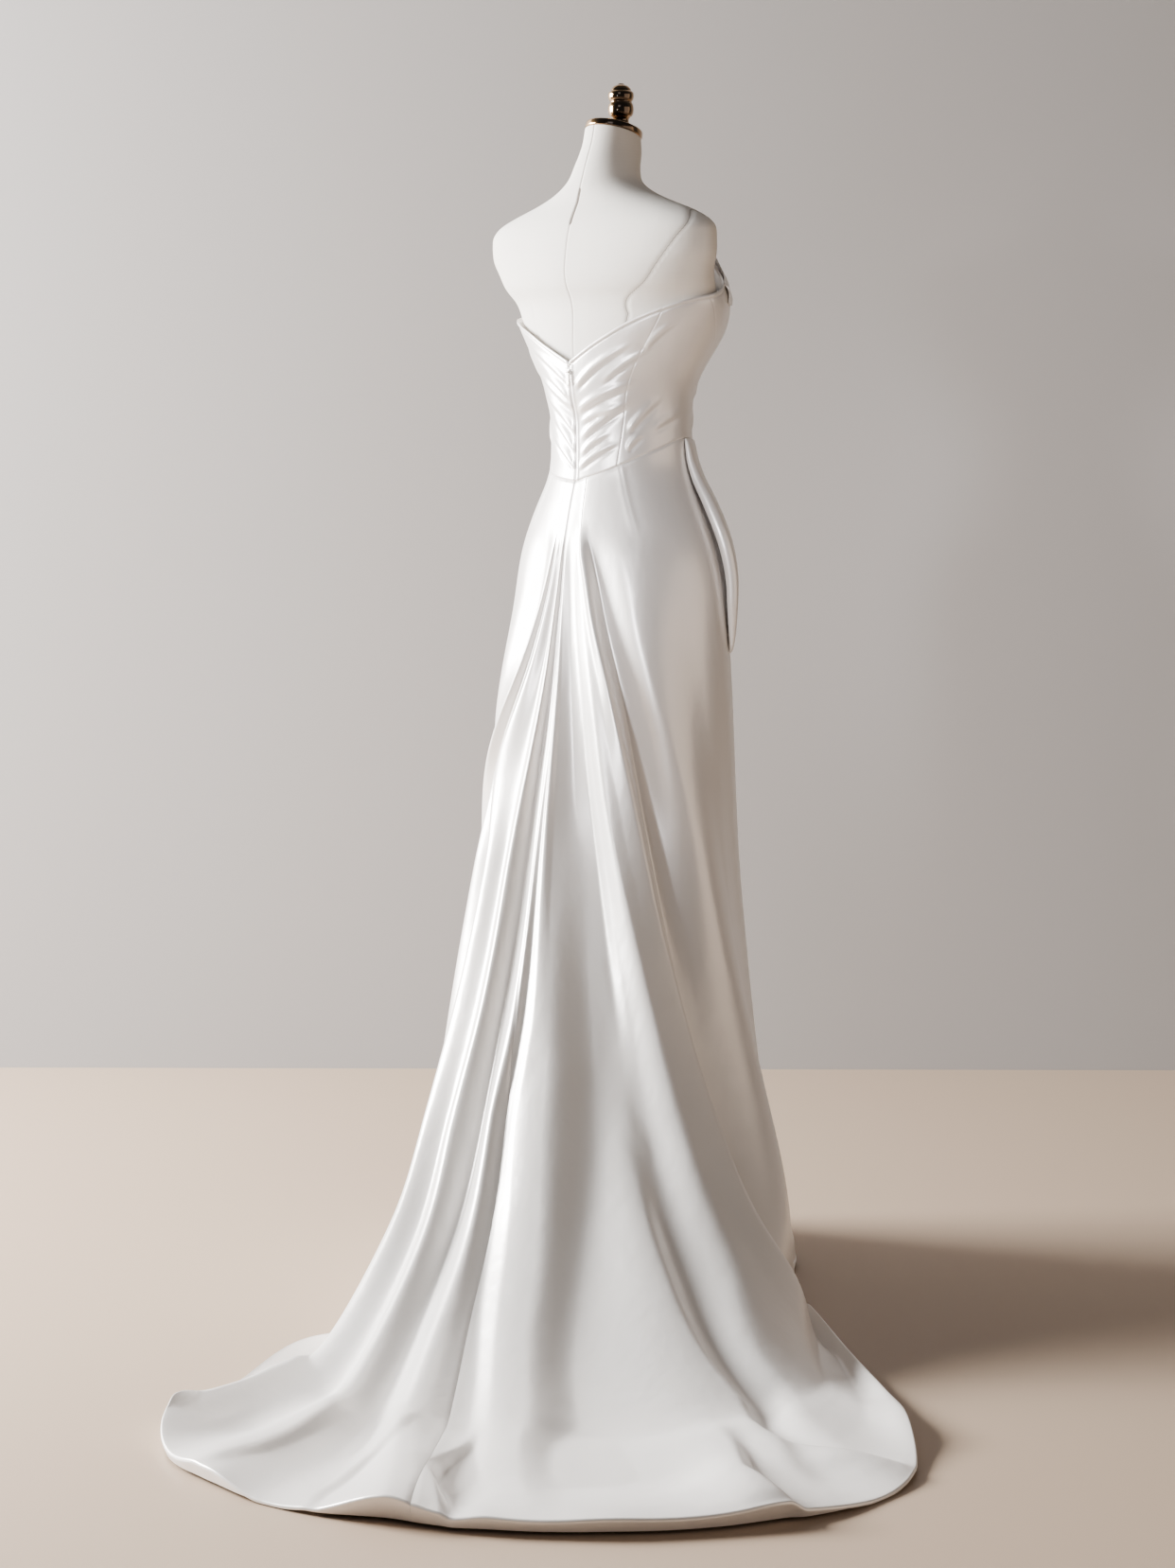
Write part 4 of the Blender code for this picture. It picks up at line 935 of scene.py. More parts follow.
@dataclass
class Skirt:
    """The skirt and train: two back panels and the front, with their folds and rolled hem."""

    cloth: float = 1.3 * MM
    fan_columns: int = 166
    tuck_columns: tuple[float, ...] = (0.02, 0.10, 0.22, 0.345, 0.46)
    tuck_crowding: float = 2.2
    tuck_reach: float = 0.03
    pleat_span: Span = (0.93, 1.13)
    pleat_columns: int = 36
    side_columns: int = 62
    front_columns: int = 46
    waist_rows: int = 12
    waist_share: float = 0.03
    waist_ease: float = 1.6
    hanging_rows: int = 100
    hanging_ease: float = 0.25
    floor_rows: int = 52
    lip_rows: int = 7
    smoothing: int = 10
    seam: Relief = Relief(-0.9, 0, 2.2)
    waist_groove: Relief = Relief(-1.08, 0, 2.0)
    dart: Relief = Relief(-0.9, 0, 1.5)
    dart_puff: Relief = Relief(1.2, 0, 6.0)
    dart_top: Span = (1.17, 1.154)
    dart_slant: float = 0.5
    dart_end: Span = (1.065, 0.02)
    fold_gain: float = 1.25
    low_gain: float = 0.45
    low_levels: Span = (0.45, 0.35)
    floor_gain: float = 0.9
    floor_levels: Span = (0.12, 0.35)
    fold_top: Span = (1.085, 0.05)
    pleat_lead: float = 0.07
    pleat_crest: float = 0.2
    left_slide: float = 0.7
    hem_waves: tuple[Wave, ...] = (Wave(0.46, 9, 0, 0.6), Wave(0.34, 19, 0, 2.0))
    hem_rise: float = 16 * MM
    hem_reach: float = 0.55
    hem_gap: float = 5 * MM
    break_fade: float = 0.2
    lip_turn: float = 118.0
    lip_radius: float = 2.6 * MM
    lip_least: float = 0.4 * MM
    lip_steps: tuple[float, ...] = (0.35, 0.7, 1.0)

    def columns(self) -> Array:
        """Columns from centre front round the left, by the train (0), to centre front again.

        Returns:
            The columns, from -1 to 1.
        """
        fan = SHAPE.fan
        seam = SHAPE.skirt_seam()
        start, end = self.pleat_span
        even = np.linspace(0, start, 2001)
        tucks = (bell((even - near) / self.tuck_reach) for near in self.tuck_columns)
        dense = 1 + sum(self.tuck_crowding * tuck for tuck in tucks)
        grown = np.concatenate([[0], np.cumsum((dense[1:] + dense[:-1]) / 2)])
        spots = np.interp(np.linspace(0, grown[-1], self.fan_columns + 1), grown, even)
        parts = [
            spots * fan,
            np.linspace(start * fan, end * fan, self.pleat_columns + 1)[1:],
            np.linspace(end * fan, seam, self.side_columns + 1)[1:],
            np.linspace(seam, 1, self.front_columns + 1)[1:],
        ]
        half = np.concatenate(parts)
        return np.concatenate([-half[::-1], half[1:]])

    def grid(self) -> tuple[Array, Array, Array]:
        """Middle surface from the waist seam to the hem's lip.

        Returns:
            The columns, the points and their outward normals.
        """
        cols = self.columns()
        near = self.waist_share * np.linspace(0, 1, self.waist_rows + 1)[:-1] ** self.waist_ease
        far = np.linspace(self.waist_share, 1, self.hanging_rows + 1)
        rest = 1 - self.waist_share
        turn = 2 * math.pi * (far - self.waist_share) / rest
        far = far - self.hanging_ease * rest * np.sin(turn) / (2 * math.pi)
        hang = [SHAPE.hanging_row(cols, place) for place in np.concatenate([near, far])]
        floor_places = np.linspace(0, 1, self.floor_rows + 1)[1:]
        floor = [SHAPE.floor_row(cols, place) for place in floor_places]
        levels = np.array([row[:, 2] for row in hang] + [np.full(len(cols), -p) for p in floor_places])
        grid = softened(np.array(hang + floor), self.smoothing)
        normals = row_normals(grid, True)
        level_row(normals, 0)
        grid[0, :, 2] -= SEAM_GAP / 2
        grid = self.folded(cols, grid, normals, levels)
        grid = self.lipped(self.floored(cols, grid, levels))
        return cols, grid, row_normals(grid, True)

    def folded(self, cols: Array, grid: Array, normals: Array, levels: Array) -> Array:
        """Lays the fold lines, seams and the pleats' overhang on the plain surface.

        Args:
            cols: The skirt's columns.
            grid: Plain points.
            normals: Their outward normals.
            levels: Each point's level, as in LEVELS.

        Returns:
            The folded points.
        """
        heights = LEVELS[::-1]
        spots = np.array([smooth_curve(heights, line.places[::-1], levels) for line in FOLD_LINES])
        rises = np.array([smooth_curve(heights, line.rises[::-1], levels) for line in FOLD_LINES])
        place = np.broadcast_to(cols / SHAPE.fan, levels.shape)
        gain = self.fold_gain + self.low_gain * under(levels, self.low_levels)
        gain += self.floor_gain * under(levels, self.floor_levels)
        top = under(levels, self.fold_top)
        out = smooth_curve(spots, rises, place) * gain * MM * top
        across = np.gradient(grid, axis=1)
        scale = np.linalg.norm(across, axis=-1) / np.gradient(cols / SHAPE.fan)[None, :]
        amount = smooth_curve(heights, PLEAT_SLIDE[::-1], levels) * MM
        slide = np.zeros(levels.shape)
        for line, hand, share in ((RIGHT_PLEAT, 1, 1.0), (LEFT_PLEAT, -1, self.left_slide)):
            gap = np.abs(spots[line + hand] - spots[line])
            off = (place - spots[line]) * hand
            up = smooth_step((off + self.pleat_lead) / (self.pleat_lead + self.pleat_crest * gap))
            down = 1 - smooth_step((off - self.pleat_crest * gap) / ((1 - self.pleat_crest) * gap))
            slide += hand * share * amount * up * down
        side = SHAPE.skirt_seam() / SHAPE.fan
        for seam in (0.0, side, -side):
            out += self.seam.lay((place - seam) * scale)
        start, height = self.dart_top
        short = smooth_step((levels - self.dart_end[0]) / self.dart_end[1])
        for hand in (-1, 1):
            away = np.abs(place - hand * (start + (height - levels) * self.dart_slant)) * scale
            out += (self.dart.lay(away) + self.dart_puff.lay(away)) * short
        out += self.waist_groove.lay(grid[0, :, 2] - grid[..., 2])
        return grid + normals * out[..., None] + unit(across) * (slide * top)[..., None]

    def floored(self, cols: Array, grid: Array, levels: Array) -> Array:
        """Raises the mounds, the tucks and the hem's waves from the floor.

        Args:
            cols: The skirt's columns.
            grid: Folded points.
            levels: Each point's level, as in LEVELS.

        Returns:
            The raised points, none of them under the floor.
        """
        place = np.broadcast_to(cols / SHAPE.fan, levels.shape)
        side = SHAPE.on_floor(cols)[None, :]
        across = np.linalg.norm(np.gradient(grid, axis=1), axis=-1) / np.gradient(cols / SHAPE.fan)[None, :]
        down = np.linalg.norm(np.gradient(grid, axis=0), axis=-1)
        floor = levels <= 0
        per_level = np.where(floor, down * self.floor_rows, 1.0)
        lift = np.zeros(levels.shape)
        for m in MOUNDS:
            wide = (place - m.place) * across / (m.wide * MM)
            long = (levels - m.level) * per_level / (m.long * MM)
            lift += m.rise * MM * bell(wide) * bell(long)
        lift += self.tucks(place, levels, across)
        wave = np.ones(levels.shape)
        for ripple in self.hem_waves:
            wave += ripple.lay(place)
        brink = smooth_step((-levels - (1 - self.hem_reach)) / self.hem_reach)
        lift += self.hem_rise * wave * brink
        lift *= floor * side * smooth_step(-levels / self.break_fade)
        grid = grid.copy()
        grid[..., 2] = np.maximum(grid[..., 2] + lift, self.cloth / 2 * side)
        return grid

    def tucks(self, place: Array, levels: Array, across: Array) -> Array:
        """Lift of the train's tucks.

        Args:
            place: Each point's column as a share of the fan.
            levels: Each point's level, as in LEVELS.
            across: Metres of cloth for one place.

        Returns:
            The lift of each point.
        """
        heights = TUCK_LEVELS[::-1]
        at = np.clip(levels, -1, 0)
        lift = np.zeros(levels.shape)
        for tuck in TUCKS:
            crest = smooth_curve(heights, tuck.places[::-1], at)
            rise = smooth_curve(heights, tuck.rises[::-1], at) * MM
            off = (place - crest) * across / MM
            lift += rise * np.where(off < 0, bell(off / tuck.gentle), 1 - smooth_step(off / tuck.steep))
        return lift

    def lipped(self, grid: Array) -> Array:
        """Adds the rows of the hem's lip, which turns down and under.

        Args:
            grid: Points from the waist seam to the hem.

        Returns:
            The points with the lip's rows after them.
        """
        out = grid[-1] - grid[-3]
        out[:, 2] = 0
        out = unit(out)
        room = np.maximum(grid[-1, :, 2] - self.cloth / 2, self.lip_least)
        radius = np.minimum(self.lip_radius, room / 2)
        rows = []
        for turn in np.radians(np.linspace(0, self.lip_turn, self.lip_rows + 1)[1:]):
            row = grid[-1] + out * (radius * math.sin(turn))[:, None]
            row[:, 2] = grid[-1, :, 2] - radius * (1 - math.cos(turn))
            rows.append(row)
        last = rows[-1]
        lean = math.radians(self.lip_turn)
        left = np.maximum(last[:, 2] - self.cloth / 2 - self.hem_gap, 0)
        for step in self.lip_steps:
            row = last + out * (left * step * math.cos(lean) / math.sin(lean))[:, None]
            row[:, 2] = last[:, 2] - left * step
            rows.append(row)
        return np.concatenate([grid, np.array(rows)])

    def build(self, satin: Material) -> None:
        """Builds and places the three panels.

        Args:
            satin: Their material.
        """
        cols, grid, normals = self.grid()
        seam = SHAPE.skirt_seam()
        near = 1e-9
        front = (cols >= seam - near, cols <= -seam + near)
        right, left = (np.nonzero(side)[0] for side in front)
        spans = {
            "skirt_back_left": np.nonzero((cols >= -seam - near) & (cols <= near))[0],
            "skirt_back_right": np.nonzero((cols >= -near) & (cols <= seam + near))[0],
            "skirt_front": np.concatenate([right, left[1:]]),
        }
        for node, keep in spans.items():
            points = grid[:, keep].copy()
            inset_sides(points)
            sew(node, points, normals[:, keep], self.cloth, satin)


@dataclass
class Bodice:
    """The boned bodice in five panels, with its drag lines, seams and rolled top edge."""

    cloth: float = 1.8 * MM
    rows: int = 84
    back_columns: int = 40
    side_columns: int = 60
    front_columns: int = 110
    smoothing: int = 4
    zip_seam: Relief = Relief(-1.1, 0, 1.3)
    princess_seam: Relief = Relief(-0.35, 0, 1.3)
    waist_groove: Relief = Relief(-1.32, 0, 1.6)
    top_roll: Relief = Relief(1.5, 1.8, 1.9)
    top_stitch: Relief = Relief(-0.8, 5.4, 1.4)
    placket: Relief = Relief(0.8, 4.0, 1.8)
    half_girth: float = 0.34
    drag_gain: float = 1.75
    drag_sag: float = 3.0 * MM
    drag_start: Span = (0.10, 0.22)
    drag_end: Span = (1.12, 0.55)
    drag_widths: Span = (0.55, 0.45)
    drag_widest: Span = (0.15, 0.75)
    hollow: float = 0.8
    hollow_away: float = 1.5
    hollow_wide: float = 0.8

    def panel(self, start: Array, end: Array, columns: int) -> tuple[Array, Array, Array]:
        """One panel's surface between two seams.

        Args:
            start: Share of the seam that the columns start at, for each row.
            end: Share of the seam that they end at.
            columns: Number of quads across.

        Returns:
            Shares, heights and points, rows from the neckline down.
        """
        t = crowded(0, 1, columns)[None, :]
        shares = start[:, None] * (1 - t) + end[:, None] * t
        places = self.places()[:, None]
        heights = SHAPE.waist(shares) * (1 - places) + SHAPE.neck(shares) * places
        grid = np.array([SHAPE.bodice_row(s, h) for s, h in zip(shares, heights)])
        return shares, heights, grid

    def places(self) -> Array:
        """Places of the rows, from the neckline (1) down to the waist seam (0)."""
        return crowded(1, 0, self.rows)

    def drag(self, shares: Array, heights: Array) -> Array:
        """How far the drag lines raise or sink the cloth.

        Args:
            shares: Each point's share of the way round.
            heights: Each point's height.

        Returns:
            The rise of each point.
        """
        rise = np.zeros(shares.shape)
        for d in DRAGS:
            start = np.array([d.share_start * self.half_girth, d.height_start])
            end = np.array([d.share_end * self.half_girth, d.height_end])
            along = end - start
            length = np.linalg.norm(along)
            along /= length
            spot = np.stack([shares * self.half_girth, heights], -1) - start
            t = (spot @ along) / length
            off = spot[..., 1] * along[0] - spot[..., 0] * along[1]
            off = off * np.sign(along[0]) - self.drag_sag * np.sin(math.pi * np.clip(t, 0, 1))
            ends = smooth_step((t + self.drag_start[0]) / self.drag_start[1])
            ends *= smooth_step((self.drag_end[0] - t) / self.drag_end[1])
            middle = np.sin(math.pi * np.clip(self.drag_widest[0] + self.drag_widest[1] * t, 0, 1))
            wide = d.width * MM * (self.drag_widths[0] + self.drag_widths[1] * middle)
            ridge = bell(off / wide)
            ridge -= self.hollow * bell((off + self.hollow_away * wide) / (self.hollow_wide * wide))
            rise += self.drag_gain * d.rise * MM * ridge * ends
        return rise

    def build(self, satin: Material) -> None:
        """Builds and places the five panels.

        Args:
            satin: Their material.
        """
        places = self.places()
        back = read(SLANTS, "place", "princess", places)
        side = read(SLANTS, "place", "side", places)
        zero, one = np.zeros(len(places)), np.ones(len(places))
        spans = {
            "bodice_side_left": [(-side, -back, self.side_columns)],
            "bodice_back_left": [(-back, zero, self.back_columns)],
            "bodice_back_right": [(zero, back, self.back_columns)],
            "bodice_side_right": [(back, side, self.side_columns)],
            "bodice_front": [(side, one, self.front_columns // 2), (-one, -side, self.front_columns // 2)],
        }
        for node, parts in spans.items():
            shares, heights, grid = self.panel(*parts[0])
            for part in parts[1:]:
                more = self.panel(*part)
                shares, heights, grid = (
                    np.concatenate([a, b[:, 1:]], axis=1) for a, b in zip((shares, heights, grid), more)
                )
            grid = self.relieved(shares, heights, softened(grid, self.smoothing))
            sew(node, grid, row_normals(grid, False), self.cloth, satin)

    def relieved(self, shares: Array, heights: Array, grid: Array) -> Array:
        """Lays the drag lines, seams, placket and rolled top edge on a panel.

        Args:
            shares: Each point's share of the way round.
            heights: Each point's height.
            grid: The panel's plain points.

        Returns:
            The points, with half a seam's gap at each side and a gap at the top.
        """
        normals = row_normals(grid, False)
        rise = self.drag(shares, heights)
        below = SHAPE.neck(shares) - heights
        across = lengths(grid, 1)
        for far, edge in ((across, 0), (across[:, -1:] - across, -1)):
            at_zip = abs(shares[0, edge]) < 0.01
            rise += (self.zip_seam if at_zip else self.princess_seam).lay(far)
        rise += self.waist_groove.lay(heights - SHAPE.waist(shares))
        rise += self.top_roll.lay(below)
        rise += self.top_stitch.lay(below)
        rise += self.placket.lay(np.abs(shares) * self.half_girth)
        level_row(normals, -1)
        grid = grid + normals * rise[..., None]
        grid[-1, :, 2] += SEAM_GAP
        inset_sides(grid)
        return grid


@dataclass
class Cuff:
    """The folded petal at the top of a cup, with a soft fold along its free upper edge."""

    hand: Hand
    cloth: float = 1.6 * MM
    rows: int = 36
    columns: int = 90
    start: float = 0.56
    drop: float = 0.062
    tip: float = 0.006
    seat: float = 2.6 * MM
    stand: float = 0.007
    ends: float = 0.08
    fullness: float = 0.7
    puff: float = 1.5 * MM
    puff_edge: float = 0.25
    ripple: Wave = Wave(0.8 * MM, 14, 5, 0)
    ripple_edge: float = 0.3

    def build(self, satin: Material) -> None:
        """Builds and places the cuff.

        Args:
            satin: Its material.
        """
        across = np.linspace(0, 1, self.columns + 1)[1:-1]
        shares = (self.start + (1 - self.start) * across) * self.hand.value
        wave = self.ends + (1 - 2 * self.ends) * across
        drop = self.drop * np.sin(math.pi * wave) ** self.fullness
        tip = self.tip * np.sin(math.pi * across)
        top = SHAPE.neck(shares)
        downs = np.linspace(0, 1, self.rows + 1)[:, None]
        grid = np.array([SHAPE.bodice_row(shares, top + tip * (1 - t) - drop * t) for t in downs])
        normals = row_normals(grid, False, self.hand.value)
        edge = np.minimum(downs, 1 - downs)
        out = self.seat + self.stand * (1 - downs) ** 2 * np.sin(math.pi * across)
        out = out + self.puff * smooth_step(edge / self.puff_edge)
        out = out + self.ripple.lay(across, downs) * smooth_step(edge / self.ripple_edge)
        grid = (grid + normals * out[..., None])[:, :: self.hand.value]
        sew(f"cuff_{self.hand.name.lower()}", grid, row_normals(grid, False), self.cloth, satin)


@dataclass
class HipDrape:
    """The draped pleat over a hip, open at its back edge."""

    hand: Hand
    cloth: float = 1.6 * MM
    columns: int = 40
    rows: int = 90
    reach: float = 0.156
    low: float = 0.900
    slant: float = 0.100
    seat: float = 2.5 * MM
    stand: float = 0.020
    fullness: float = 0.6
    closing: float = 1.2
    ripple: Wave = Wave(1.2 * MM, 9, 2.5, 0)
    roll: Span = (0.8 * MM, 8.6 * MM)
    roll_turn: float = 170.0
    roll_columns: int = 14

    def rolled(self, grid: Array, normals: Array, swell: Array) -> Array:
        """Adds columns before the first one that turn the back edge inward, like a soft tube.

        Args:
            grid: The drape's points.
            normals: Their outward normals.
            swell: How full the drape is in each row, from 0 to 1.

        Returns:
            The wider grid.
        """
        back = unit(grid[:, 0] - grid[:, 1])
        least, most = self.roll
        radius = least + (most - least) * swell
        columns = []
        for turn in np.radians(np.linspace(self.roll_turn, 0, self.roll_columns + 1)[:-1]):
            out = normals[:, 0] * (math.cos(turn) - 1) + back * math.sin(turn)
            columns.append(grid[:, 0] + radius * out)
        return np.concatenate([np.stack(columns, axis=1), grid], axis=1)

    def build(self, satin: Material) -> None:
        """Builds and places the drape.

        Args:
            satin: Its material.
        """
        across = np.linspace(0, 1, self.columns + 1)
        cols = (SHAPE.skirt_seam() + self.reach * across) * self.hand.value
        low = self.low + self.slant * across
        top = SHAPE.skirt_waist(cols) - SEAM_GAP
        downs = np.linspace(0, 1, self.rows + 1)[:, None]
        grid = np.array([SHAPE.skirt_row(cols, top * (1 - t) + low * t) for t in downs])
        normals = row_normals(grid, False, self.hand.value)
        swell = np.sin(math.pi * downs) ** self.fullness
        stand = self.stand * swell * (1 - across) ** self.closing + self.seat
        grid = grid + normals * (stand + self.ripple.lay(across, downs) * swell)[..., None]
        grid = self.rolled(grid, row_normals(grid, False, self.hand.value), swell)
        grid = grid[:, :: self.hand.value]
        sew(f"hip_drape_{self.hand.name.lower()}", grid, row_normals(grid, False), self.cloth, satin)


@dataclass(frozen=True)
class DressForm:
    """The linen-covered torso with its seams and nape slit."""

    sides: int = 240
    side_crowding: float = 0.72
    low_rows: int = 40
    high_rows: int = 150
    rows_change: float = 1.26
    smoothing: int = 3
    neck_base: float = 1.56
    neck_tilt: float = 16.0
    map_radius: float = 0.14
    back_seam: Relief = Relief(-0.9, 0, 1.2)
    slit: Relief = Relief(-3.0, 0, 1.6)
    slit_ends: Span = (1.492, 1.543)
    slit_fade: float = 0.004
    armhole_seam: Relief = Relief(-1.5, 0, 1.2)
    armhole_sunk: float = 0.6 * MM
    armhole_slope: float = 4 * MM
    armhole_side: Span = (0.05, 0.03)
    disc_y: float = 0.030
    disc_z: float = 1.412
    disc_wide: float = 0.058
    disc_tall: float = 0.096
    disc_low: float = -0.45

    def ring(self, height: float) -> Array:
        """Points of one level outline of the form, its neck leaning forward.

        Args:
            height: The outline's height in FORM.

        Returns:
            Points from centre front round the left and centre back to centre front.
        """
        turn = np.linspace(-math.pi, math.pi, self.sides + 1)
        angle = turn - self.side_crowding * np.sin(turn)
        level = np.array(height)
        side, back, front, centre = (read(FORM, "height", name, level) for name in Torso._fields[1:])
        depth = np.where(np.cos(angle) >= 0, back - centre, centre - front)
        y = centre + depth * np.cos(angle)
        share = max(0.0, (height - self.neck_base) / (FORM[-1].height - self.neck_base))
        z = height + share * math.tan(math.radians(self.neck_tilt)) * (y - FORM[-1].centre)
        return np.stack([-side * np.sin(angle), y, z], -1)

    def build(self, linen: Material) -> None:
        """Builds and places the torso.

        Args:
            linen: Its material.
        """
        low = np.linspace(FORM[0].height, self.rows_change, self.low_rows + 1)
        high = np.linspace(self.rows_change, FORM[-1].height, self.high_rows + 1)[1:]
        rings = np.array([self.ring(height) for height in np.concatenate([low, high])])
        grid = softened(rings, self.smoothing)[::-1]
        grid = (grid + row_normals(grid, True) * self.relief(grid)[..., None])[:, :-1]
        index = np.arange(len(grid) * self.sides).reshape(len(grid), self.sides)
        right = np.roll(index, -1, axis=1)
        faces = np.stack([index[:-1], index[1:], right[1:], right[:-1]], -1).reshape(-1, 4).tolist()
        faces += [index[0].tolist(), index[-1][::-1].tolist()]
        turn = np.linspace(-math.pi, math.pi, self.sides + 1)[:-1] * self.map_radius
        flat = np.stack(np.broadcast_arrays(turn[None, :], grid[..., 2]), -1).reshape(-1, 2)
        torso = new_object("linen_form_torso", grid.reshape(-1, 3), faces, flat, linen, 50)
        place_piece(torso, "linen", "form_torso")

    def relief(self, grid: Array) -> Array:
        """Rise of the seams, the nape's slit and the armhole discs over the plain form.

        Args:
            grid: The plain form's points.

        Returns:
            The rise of each point.
        """
        x, y, z = grid[..., 0], grid[..., 1], grid[..., 2]
        low, high = self.slit_ends
        slit = smooth_step((z - low) / self.slit_fade) * smooth_step((high - z) / self.slit_fade)
        rise = (self.back_seam.lay(x) + self.slit.lay(x) * slit) * (y > 0)
        for hand in Hand:
            rise += self.armhole(-x * hand.value, y, z)
        return rise

    def armhole(self, x: Array, y: Array, z: Array) -> Array:
        """Rise of the armhole disc and its seam, on the side where x is positive.

        Args:
            x: How far each point is to that side.
            y: How far it is to the back.
            z: Its height.

        Returns:
            The rise of each point.
        """
        up = np.maximum((z - self.disc_z) / self.disc_tall, self.disc_low)
        far = np.hypot((y - self.disc_y) / self.disc_wide, up)
        off = (far - 1) * (self.disc_wide + self.disc_tall) / 2
        near = smooth_step((x - self.armhole_side[0]) / self.armhole_side[1])
        sunk = -self.armhole_sunk * smooth_step(-off / self.armhole_slope)
        return (sunk + self.armhole_seam.lay(off)) * near


@dataclass
class NeckTop:
    """The slanted cap on the neck and the turned finial upright on the pole's line."""

    tilt: float = 16.0
    radius: float = 41 * MM
    thick: float = 10 * MM
    round: float = 2.6 * MM
    foot: float = 14 * MM
    dome: float = 0.35
    dome_steps: int = 8
    steps: int = 72
    rows: int = 90

    def frame(self) -> Matrix:
        """Place and tilt of the neck's top face."""
        tilt = Matrix.Rotation(math.radians(self.tilt), 4, "X")
        return Matrix.Translation((0, FORM[-1].centre, FORM[-1].height)) @ tilt

    def build_cap(self, brass: Material) -> None:
        """Builds and places the cap, a disc with rounded edges.

        Args:
            brass: Its material.
        """
        deselect()
        bpy.ops.mesh.primitive_cylinder_add(vertices=128, radius=self.radius, depth=self.thick)
        cap = bpy.context.active_object
        cap.name = "brass_neck_cap"
        bevel = cap.modifiers.new("round", "BEVEL")
        bevel.width = self.round
        bevel.segments = 5
        bevel.limit_method = "ANGLE"
        bpy.ops.object.modifier_apply(modifier=bevel.name)
        cap.data.transform(self.frame() @ Matrix.Translation((0, 0, self.thick / 2 + SEAM_GAP)))
        cap.data.materials.append(brass)
        bpy.ops.object.shade_smooth_by_angle(angle=math.radians(40))
        place_piece(cap, "brass", "neck_cap")

    def build_finial(self, brass: Material) -> None:
        """Builds and places the finial, spun about the pole's line, its foot cut to the cap's slant.

        Args:
            brass: Its material.
        """
        run = np.arange(len(FINIAL), dtype=float)
        at = np.linspace(0, run[-1], self.rows + 1)
        radii, heights = (smooth_curve(run, column, at) for column in zip(*FINIAL))
        end = np.radians(np.linspace(0, 90, self.dome_steps + 1))[1:]
        last = FINIAL[-1]
        radii = np.concatenate([[0], radii, last.radius * np.cos(end)])
        heights = np.concatenate([[0], heights, last.height + self.dome * last.radius * np.sin(end)])
        points = [(r, 0.0, h) for r, h in zip(radii, heights)]
        mesh = bpy.data.meshes.new("neck_finial_turned")
        mesh.from_pydata(points, [(i, i + 1) for i in range(len(points) - 1)], [])
        knob = bpy.data.objects.new("brass_neck_finial", mesh)
        bpy.context.scene.collection.objects.link(knob)
        deselect()
        knob.select_set(True)
        bpy.context.view_layer.objects.active = knob
        bpy.ops.object.mode_set(mode="EDIT")
        bpy.ops.mesh.select_all(action="SELECT")
        bpy.ops.mesh.spin(steps=self.steps, angle=2 * math.pi, center=(0, 0, 0), axis=(0, 0, 1))
        bpy.ops.mesh.select_all(action="SELECT")
        bpy.ops.mesh.remove_doubles(threshold=0.00001)
        bpy.ops.mesh.normals_make_consistent(inside=False)
        bpy.ops.object.mode_set(mode="OBJECT")
        seat = self.frame() @ Vector((0, 0, self.thick + 2 * SEAM_GAP))
        slope = math.tan(math.radians(self.tilt))
        for vertex in mesh.vertices:
            slant = max(0.0, 1 - vertex.co.z / self.foot)
            vertex.co.z += slope * vertex.co.y * slant + seat.z - slope * seat.y
        mesh.materials.append(brass)
        bpy.ops.object.shade_smooth_by_angle(angle=math.radians(50))
        place_piece(knob, "brass", "neck_finial")


